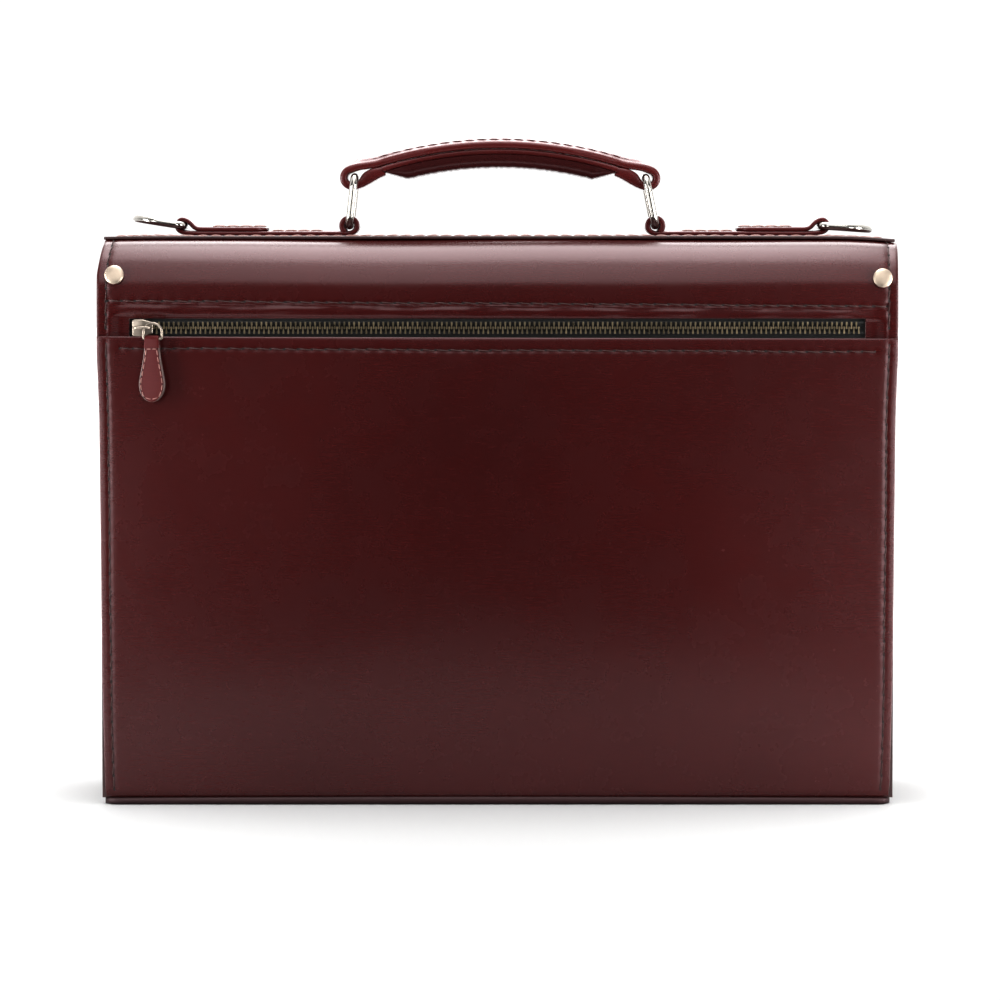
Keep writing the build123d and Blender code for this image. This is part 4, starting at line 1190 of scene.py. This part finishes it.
def zip_teeth(name, side, first_x, node_name):
    """Metal teeth clamped on a beaded tape edge: a root block, a neck and a rounded head."""
    right = [(0.34, -3.4), (0.52, -2.85), (0.32, -2.3), (0.28, -1.6), (0.46, -1.1), (0.46, 0.35)]
    outline = [(-a, b) for a, b in reversed(right)] + right
    depth = ((-46.15, 0.78, 0.97), (-45.85, 1.0, 1.0), (-44.4, 1.0, 1.0), (-44.1, 0.8, 0.97))
    sides = len(outline)
    points, faces = [], []
    root = ZIP_Z + side * CHAIN / 2
    for index in range(TOOTH_COUNT):
        x = first_x + index * TOOTH_PITCH
        first = len(points)
        for y, wide, long in depth:
            points += [(x + a * wide, y, root + side * b * long) for a, b in outline]
        tooth = ring_faces(len(depth), sides, first)
        last = first + (len(depth) - 1) * sides
        tooth.append(tuple(reversed(range(first, first + sides))))
        tooth.append(tuple(range(last, last + sides)))
        faces += tooth if side > 0 else [face[::-1] for face in tooth]
    obj = make_mesh(name, points, faces, [BRASS], sharp=40)
    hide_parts(node_name)
    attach(obj, "case")


zip_teeth("zip_teeth_row_upper", 1, TEETH_START, "zip_teeth_upper")
zip_teeth("zip_teeth_row_lower", -1, TEETH_START + TOOTH_PITCH / 2, "zip_teeth_lower")


def tape(name, low, high, bead_z, node_name):
    """Woven tape with a corded bead along the teeth."""
    section = [(-45.0, low), (-45.0, high), (-44.5, high), (-44.5, low)]
    rings = [[(x, y, z) for y, z in section] for x in np.linspace(-TAPE_HALF, TAPE_HALF, 90)]
    obj = loft(name, rings, [TAPE], sharp=30)
    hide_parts(node_name)
    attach(obj, "case")
    bead_y, bead_radius, sides, rows = -45.1, 0.75, 10, 60
    turns = np.arange(sides) * math.tau / sides
    round_bead = np.stack([bead_y + bead_radius * np.cos(turns), bead_z + bead_radius * np.sin(turns)], 1)
    points = [(x, y, z) for x in np.linspace(-TAPE_HALF, TAPE_HALF, rows) for y, z in round_bead]
    bead = make_mesh(f"{name}_bead", points, ring_faces(rows, sides), [TAPE])
    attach(bead, "case")


tape("zip_tape_upper_woven", ZIP_Z + 0.2, 262, ZIP_Z + CHAIN / 2 + 0.1, "zip_tape_upper")
tape("zip_tape_lower_woven", 230, ZIP_Z - 0.2, ZIP_Z - CHAIN / 2 - 0.1, "zip_tape_lower")


def slider_part(name, outline, y0, y1, rounding, segments=3):
    """Plate with rounded edges between y0 and y1. Its outline starts at the slider's end."""
    count = len(outline)
    outline = [(SLIDER_X + x, ZIP_Z + z) for x, z in outline]
    points = [(x, y0, z) for x, z in outline] + [(x, y1, z) for x, z in outline]
    faces = [tuple(range(count)), tuple(range(2 * count - 1, count - 1, -1))]
    area = 0.0
    for k in range(count):
        j = (k + 1) % count
        faces.append((k, k + count, j + count, j))
        area += outline[k][0] * outline[j][1] - outline[j][0] * outline[k][1]
    if area < 0:
        faces = [tuple(reversed(f)) for f in faces]
    obj = make_mesh(name, points, faces, [ANTIQUE])
    round_edges(obj, rounding, segments)
    obj.data.polygons.foreach_set("use_smooth", np.ones(len(obj.data.polygons), bool))
    obj.data.set_sharp_from_angle(angle=30 * DEG)
    return obj


plate = [(0, -3.6), (0.9, -4.4), (5.6, -4.4), (10.6, -2.9)]
plate += [(x, -z) for x, z in reversed(plate)]
rail = [(0.2, 3.3), (5.4, 3.5), (10.3, 2.3), (10.3, 3.0), (5.4, 4.35), (0.6, 4.35)]
slider_front = slider_part("zip_slider_front", plate, -49.5, -48.0, 0.6)
slider_rear = slider_part("zip_slider_rear", plate, -43.7, -42.6, 0.4)
rails = [
    slider_part(f"zip_slider_rail_{word}", [(x, sign * z) for x, z in rail], -48.4, -46.5, 0.3)
    for sign, word in ((-1, "low"), (1, "high"))
]
wedge = slider_part(
    "zip_slider_wedge", [(0.6, 0), (1.6, -1.6), (3.6, 0), (1.6, 1.6)], -48.2, -43.4, 0.15, 2
)
bridge_line = smooth_line(
    [(1.0, -49.0), (1.0, -52.6), (1.9, -54.4), (5.3, -54.7), (8.9, -54.4), (9.9, -52.6), (9.9, -49.0)],
    0.5,
)
rings = []
for (x, y), out in zip(bridge_line, line_normals(bridge_line)):
    ring = []
    for j in range(12):
        turn = j * math.tau / 12
        thick = -0.42 * math.cos(turn)
        high = 0.2 + 0.8 * math.sin(turn)
        ring.append((SLIDER_X + x + thick * out[0], y + thick * out[1], ZIP_Z + high))
    rings.append(ring)
bridge = loft("zip_slider_bridge", rings, [ANTIQUE], sharp=60)
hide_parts("zip_slider")
for obj in (slider_front, slider_rear, wedge, bridge, *rails):
    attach(obj, "zip_slider")

# ---------------------------------------------------------------- ring of the pull
PULL_HALF = 4.7
bow_z = 243.5
pull_bow = [
    (PULL_X + PULL_HALF * math.cos(a * DEG), bow_z + PULL_HALF * math.sin(a * DEG))
    for a in range(0, 181, 9)
]
left_x, right_x = PULL_X - PULL_HALF, PULL_X + PULL_HALF
pull_bar = rounded_path(
    [(left_x, bow_z - 0.4), (left_x, BAR_Z), (right_x, BAR_Z), (right_x, bow_z - 0.4)],
    1.0, closed=False, arc_step=18,
)
pull_path = np.concatenate([pull_bow, pull_bar])
pull_points = np.insert(pull_path, 1, PULL_Y, axis=1)
pull_ring = tube("zip_pull_wire", pull_points, 0.7, [ANTIQUE], sides=16)
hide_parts("zip_pull_ring")
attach(pull_ring, "zip_pull_ring")


# ---------------------------------------------------------------- leather fob of the pull
FOB_END = 32.3  # below the ring's bar
FOB_T = 2.5
FOB_COUNT = 13


def fob_profile():
    """Stations below the ring's bar, and the fob's half width at each: narrow at the top, then round."""
    downs = np.concatenate([np.linspace(3.2, 27, 36), np.linspace(27.4, FOB_END, 20)])
    halves = np.interp(
        downs, [3, 6, 10, 14, 18.5, 23, 26, 28.7, 30.7, 31.8, FOB_END],
        [3.9, 4.1, 4.5, 5.3, 6.2, 6.95, 6.6, 5.5, 4.0, 2.5, 0.5],
    )
    for _ in range(6):
        halves[1:-1] = (halves[:-2] + 2 * halves[1:-1] + halves[2:]) / 4
    return downs, halves


def fob_turned(points):
    """Turns the fob a little about its ring: right side and lower end towards the viewer."""
    points = np.asarray(points, float)
    yaw, tilt = -9 * DEG, 3.5 * DEG
    x = points[..., 0] * math.cos(yaw) - points[..., 1] * math.sin(yaw)
    y = points[..., 0] * math.sin(yaw) + points[..., 1] * math.cos(yaw)
    z = points[..., 2]
    y, z = y * math.cos(tilt) + z * math.sin(tilt), z * math.cos(tilt) - y * math.sin(tilt)
    return np.stack([x + PULL_X - 0.3, y + PULL_Y, z + BAR_Z], -1)


def fob_leaf(downs, halves):
    """Flat leaf of the fob, with raw edges."""
    rings = []
    for down, half in zip(downs, halves):
        section = strap_section(half, FOB_T, 0.12, min(0.55, half * 0.5), FOB_COUNT)
        rings.append([(across, -out, -down) for across, out in section])
    return loft(
        "zip_fob_leather", fob_turned(rings), [FOB, FOB_EDGE],
        lambda j: right_edge(j, FOB_COUNT) or j >= 2 * FOB_COUNT + 4, sharp=50,
    )


def fob_loop():
    """Strap over the ring's bar, both its ends on the leaf."""
    over = [
        (-1.35 * math.cos(a * DEG), 1.35 * math.sin(a * DEG)) for a in range(0, 181, 15)
    ]
    path = [(-1.25, -4.6), (-1.3, -2.0), *over, (1.3, -2.0), (1.25, -4.6)]
    path = smooth_line(path, 0.5, 1)
    rings = []
    for k, ((y, z), out) in enumerate(zip(path, line_normals(path))):
        half = np.interp(abs(k - len(path) / 2), [0, len(path) / 2], [3.5, 4.05])
        section = strap_section(half, 1.1, 0.08, 0.35, 9)
        rings.append([(a, y + b * out[0], z + b * out[1]) for a, b in section])
    return loft("zip_fob_loop", fob_turned(rings), [FOB, FOB_EDGE], sharp=50)


def fob_threads(downs, halves):
    """Pale stitches down both sides, round the end and across below the loop."""
    sewn = (downs >= 5.2) & (downs <= 27.8)
    right = np.stack([halves[sewn] - 1.25, -downs[sewn]], 1)
    last = right[-1]
    turns = np.arange(1, 16) / 16 * math.pi
    bottom = np.stack([last[0] * np.cos(turns), last[1] - 3.1 * np.sin(turns)], 1)
    outline = np.concatenate([right, bottom, right[::-1] * [-1, 1]])
    cross = np.array([(2.9, -5.2), (-2.9, -5.2)])
    made, hole_shade_discs = [], []
    t = np.linspace(0, 1, 5)
    normals = np.tile([-0.156, -0.988, 0.0], (5, 1))
    for line, pitch in ((outline, 3.7), (cross, 2.9)):
        run = run_of(line)
        count = round(run[-1] / pitch)
        for k in range(count):
            s = (k + 0.14 + 0.72 * t) / count * run[-1]
            x = np.interp(s, run, line[:, 0])
            z = np.interp(s, run, line[:, 1])
            points = fob_turned(np.stack([x, -(FOB_T / 2 + 0.02 + arch(0.3, t)), z], -1))
            made.append((points, normals))
            # A flat dark disc at each stitch's start, painted shade in the awl hole.
            hole_shade_discs.append((points[0], normals[0], unit(points[-1] - points[0])))
    return made, hole_shade_discs


downs, halves = fob_profile()
leaf = fob_leaf(downs, halves)
loop = fob_loop()
lines, hole_shades = fob_threads(downs, halves)
fob_thread = thread_mesh("zip_fob_thread", lines, [PALE_THREAD, HOLE_SHADE], 0.24, 6, hole_shades)
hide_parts("zip_fob")
for obj in (leaf, loop, fob_thread):
    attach(obj, "zip_fob")


# ---------------------------------------------------------------- corner rivets
def dome(name, centre, radius, height, tilt):
    """Low rivet cap with a soft shoulder, facing -Y and tilted back by an angle."""
    shoulder = ((0.35, 0.985), (0.6, 0.93), (0.78, 0.84), (0.9, 0.68), (0.97, 0.45), (1.0, 0.2))
    profile = [(share, height * rise) for share, rise in shoulder] + [(1.0, -0.6)]
    sides = 40
    middle = np.array(centre, float)
    axis = np.array([0.0, -math.cos(tilt), math.sin(tilt)])
    across = np.array([1.0, 0.0, 0.0])
    upward = np.array([0.0, math.sin(tilt), math.cos(tilt)])
    points = [middle + axis * height]
    for share, rise in profile:
        for k in range(sides):
            a = k * math.tau / sides
            spoke = math.cos(a) * across + math.sin(a) * upward
            points.append(middle + axis * rise + spoke * radius * share)
    faces = [(0, 1 + k, 1 + (k + 1) % sides) for k in range(sides)]
    for row in range(len(profile) - 1):
        for k in range(sides):
            a, b = 1 + row * sides + k, 1 + row * sides + (k + 1) % sides
            faces.append((a, a + sides, b + sides, b))
    faces.append(tuple(1 + (len(profile) - 1) * sides + k for k in reversed(range(sides))))
    return make_mesh(name, points, faces, [RIVET], sharp=45)


for word, x, z in (("left", -196.3, 272.9), ("right", 197.3, 271.2)):
    rise = z - BEND_Z
    place = (x, YOKE_Y + BEND - math.sqrt(BEND**2 - rise**2) - 0.1, z)
    cap = dome(f"corner_rivet_{word}", place, 5.0, 1.3, math.asin(rise / BEND))
    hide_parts("corner_rivets")
    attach(cap, "case")

# ---------------------------------------------------------------- gussets and base
GUSSET_X = 193.9
FLANGE_X = 203.9
GUSSET_TOPS = (275.6, 262.0)  # at the back and at the front
FOOT = BASE + 0.2


def gusset_sheet(side):
    """U-shaped end wall: flange, soft bend, wall that folds in a little, bend, flange."""
    line = [(FLANGE_X, -39.4), (GUSSET_X + 3.5, -39.4), (GUSSET_X + 1.0, -38.6), (GUSSET_X, -36.0)]
    line += [(GUSSET_X, y) for y in np.linspace(-30, 28, 13)]
    line += [(GUSSET_X, 33.5), (GUSSET_X + 1.0, 36.1), (GUSSET_X + 3.5, 36.9), (FLANGE_X, 36.9)]
    line = smooth_line(line, 1.6, 2)
    run = run_of(line)
    normal = -line_normals(line)

    def place(u, v):
        x, y = np.interp(u, run, line[:, 0]), np.interp(u, run, line[:, 1])
        nx, ny = np.interp(u, run, normal[:, 0]), np.interp(u, run, normal[:, 1])
        size = np.hypot(nx, ny)
        nx, ny = nx / size, ny / size
        top = np.interp(y, [-29.5, 25], GUSSET_TOPS)
        share = (v - FOOT) / (GUSSET_TOPS[0] - FOOT)
        z = FOOT + share * (top - FOOT)
        mid = np.exp(-(((y + 1) / 16) ** 2))
        rise = np.sin(math.pi * np.clip(share, 0, 1)) ** 0.6
        fold_in = -0.9 * mid * rise - 0.3 * ripple(y * 2, z, 110, 60 + side) * mid
        x = x + fold_in * np.clip(nx, 0, 1)
        return np.stack([side * x, y, z], -1), np.stack([side * nx, ny, 0 * nx], -1)

    return Sheet(steps(0, run[-1], 1.5), steps(FOOT, GUSSET_TOPS[0], 3.0), place, 1.9)


for side, word in ((-1, "left"), (1, "right")):
    obj = gusset_sheet(side).build(f"gusset_{word}_leather", [BRIDLE, EDGE, FLESH], edge=0.5)
    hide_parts(f"gusset_{word}")
    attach(obj, "case")


def base_rings():
    """Bottom panel: its rounded front and back edges rise a little in the middle of the bag."""
    rings = []
    for x in np.linspace(-202.6, 202.8, 120):
        half = (BASE + 1.0 - (x / 203) ** 2) / 2
        near_end = np.clip((abs(x) - 197) / 5.8, 0, 1)
        pull = 5.5 * (1 - math.sqrt(max(0.0, 1 - near_end**2)))
        ring = []
        for centre, start in ((-50.6 + pull + half, 90), (49.6 - pull - half, -90)):
            for k in range(9):
                a = (start + k * 22.5) * DEG
                ring.append((x, centre + half * math.cos(a), half + half * math.sin(a)))
        rings.append(ring)
    return rings


# Its near-black leather is painted shade.
base_piece = loft("bottom_panel_leather", base_rings(), [BASE_PAINTED_SHADE, BASE_PAINTED_SHADE], sharp=45)
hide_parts("bottom_panel")
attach(base_piece, "case")

# ---------------------------------------------------------------- front pocket panel, under the flap
FRONT_POCKET_Y = 49.2
FRONT_POCKET_TOP = 168.0
LOCK_Z = 115.0


def front_pocket_place(u, v):
    """Front panel with a soft belly, flat round the lock."""
    x = u * np.interp(v, [0, 12, 60, 170], [201.6, 202.6, 203.4, 203.6]) / HALF
    flat = np.clip((np.hypot(u, v - LOCK_Z) - 24) / 40, 0, 1)
    y = FRONT_POCKET_Y + 0.9 * belly(u, v, 165, 2.4) * flat
    return np.stack([x, y, v], -1), np.stack([0 * x, np.ones_like(x), 0 * x], -1)


def front_pocket_relief(u, v):
    """The foot turns in over the bottom panel."""
    return -1.0 * np.clip(1 - (v - BASE) / 3.2, 0, 1) ** 2


front_pocket_seams = [
    Seam((x, 8), (x, 160), seed=seed, wave=0.1) for x, seed in ((-SEAM_X, 51), (SEAM_X, 52))
]
us = steps(-HALF, HALF, 2.2, (-SEAM_X, SEAM_X))
vs = steps(FOOT, FRONT_POCKET_TOP, 2.4)
front_pocket = Sheet(us, vs, front_pocket_place, PANEL, front_pocket_seams, front_pocket_relief)
front_pocket_piece = front_pocket.build("front_pocket_leather", [BRIDLE, EDGE, FLESH], edge=0.7)
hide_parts("front_pocket_panel")
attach(front_pocket_piece, "case")
lines, hole_shades = front_pocket.stitches()
front_pocket_thread = thread_mesh("front_pocket_thread", lines, [THREAD, HOLE_SHADE], hole_shades=hole_shades)
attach(front_pocket_thread, "case")

# ---------------------------------------------------------------- CAD nodes that stay as they are
kept = {
    "back_panel": BRIDLE, "pocket_welts": EDGE, "front_pocket_welts": EDGE, "front_panel": BRIDLE,
    "divider": FLESH, "divider_pocket": BRIDLE, "back_lining": SUEDE, "front_lining": SUEDE,
    "flap_lining": SUEDE, "base_board": BOARD, "top_stiffener": BOARD, "zip_stops": BRASS,
    "lock_base": NICKEL, "lock_frame": NICKEL, "lock_button": NICKEL, "key_cylinder": STEEL,
    "lock_rivets": NICKEL, "lock_frame_rivets": NICKEL, "lock_backplate": STEEL,
    "lock_frame_backplate": STEEL, "lock_latch": STEEL, "lock_leaf_spring": STEEL,
}
for name, mat in kept.items():
    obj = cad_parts[name]
    obj.data.materials.clear()
    obj.data.materials.append(mat)

# ---------------------------------------------------------------- floor, light, camera
FLOOR_REACH = 9.0
FLOOR_FRONT = -0.45  # no floor in front of this, so that the back panel mirrors the horizon
floor_mesh = bpy.data.meshes.new("floor")
floor_corners = [
    (-FLOOR_REACH, FLOOR_FRONT, 0), (FLOOR_REACH, FLOOR_FRONT, 0),
    (FLOOR_REACH, FLOOR_REACH, 0), (-FLOOR_REACH, FLOOR_REACH, 0),
]
floor_mesh.from_pydata(floor_corners, [], [(0, 1, 2, 3)])
floor = bpy.data.objects.new("floor", floor_mesh)
scene.collection.objects.link(floor)
# Painted shade: the floor is 0.32 grey within 0.24 m of the middle and lightens to 0.95 by 0.62 m. This
# dark pool round the bag deepens its contact shadow and dims the floor's bounce and reflection.
floor_mat, floor_tree, floor_bsdf = shader("floor", Roughness=0.9)
floor_place = node(floor_tree, "ShaderNodeTexCoord").outputs["Object"]
floor_run = node(floor_tree, "ShaderNodeVectorMath", {0: floor_place}, operation="LENGTH")
floor_painted_shade = ramp(
    floor_tree, spread(floor_tree, floor_run.outputs["Value"], 0.24, 0.62, 0, 1),
    [(0.0, (0.32,) * 3), (1.0, (0.95,) * 3)],
)
floor_tree.links.new(floor_painted_shade, floor_bsdf.inputs["Base Color"])
floor.data.materials.append(floor_mat)
floor.location.z = -0.0002

# The room: dark below and in front, bright above and behind, and plain white where it is seen.
world = bpy.data.worlds.new("studio")
scene.world = world
world.use_nodes = True
room = world.node_tree
room.nodes.clear()
direction = node(room, "ShaderNodeTexCoord").outputs["Generated"]
level = node(
    room, "ShaderNodeVectorMath", {0: direction, 1: (0, 0.80, 0.60)}, operation="DOT_PRODUCT"
)
glow = ramp(
    room, spread(room, level.outputs["Value"], -1, 1, 0, 1),
    [(0.0, (0.01,) * 3), (0.45, (0.02,) * 3), (0.66, (0.75,) * 3), (0.85, (1.0,) * 3)],
)
soft = node(room, "ShaderNodeBackground", {"Color": glow, "Strength": 2.1})
white = node(room, "ShaderNodeBackground", {"Color": (1, 1, 1, 1), "Strength": 1.0})
seen = node(room, "ShaderNodeLightPath").outputs["Is Camera Ray"]
choice = node(room, "ShaderNodeMixShader", {0: seen, 1: soft.outputs[0], 2: white.outputs[0]})
node(room, "ShaderNodeOutputWorld", {"Surface": choice.outputs[0]})


def softbox(name, place, target, size, energy):
    """Rectangular light at a place, turned to a target, all in metres."""
    light = bpy.data.lights.new(name, "AREA")
    light.shape = "RECTANGLE"
    light.size, light.size_y = size
    light.energy = energy
    obj = bpy.data.objects.new(name, light)
    scene.collection.objects.link(obj)
    obj.location = place
    toward = np.array(target, float) - np.array(place, float)
    obj.rotation_mode = "QUATERNION"
    obj.rotation_quaternion = Vector(toward).to_track_quat("-Z", "Y")


softbox("overhead", (0, -0.05, 1.3), (0, -0.05, 0), (0.72, 0.9), 15)
softbox("rear_top", (0, 0.85, 1.1), (0, 0, 0.25), (0.8, 0.7), 10)
softbox("front_top", (0, -0.9, 1.05), (0, 0, 0.2), (0.8, 0.8), 6)
softbox("left", (-0.50, -0.20, 0.16), (-0.14, 0, 0.14), (0.10, 0.5), 3.4)
softbox("right", (0.50, -0.20, 0.16), (0.14, 0, 0.14), (0.10, 0.5), 4.2)
softbox("far_left", (-1.02, -1.80, 0.40), (0, 0, 0.15), (0.5, 1.0), 11)
softbox("far_right", (1.02, -1.80, 0.40), (0, 0, 0.15), (0.5, 1.0), 13.5)

camera_data = bpy.data.cameras.new("camera")
camera_data.sensor_width = 36
camera_data.lens = 140.65
camera_data.clip_end = 50
camera = bpy.data.objects.new("camera", camera_data)
scene.collection.objects.link(camera)
camera.location = (0.0013, -2.05, 0.300)
camera.rotation_euler = (math.pi / 2 - 4.075 * DEG, 0, 0)
scene.camera = camera
scene.view_settings.view_transform = "Standard"
scene.view_settings.look = "None"
scene.view_settings.exposure = 0.15
scene.view_settings.gamma = 0.8
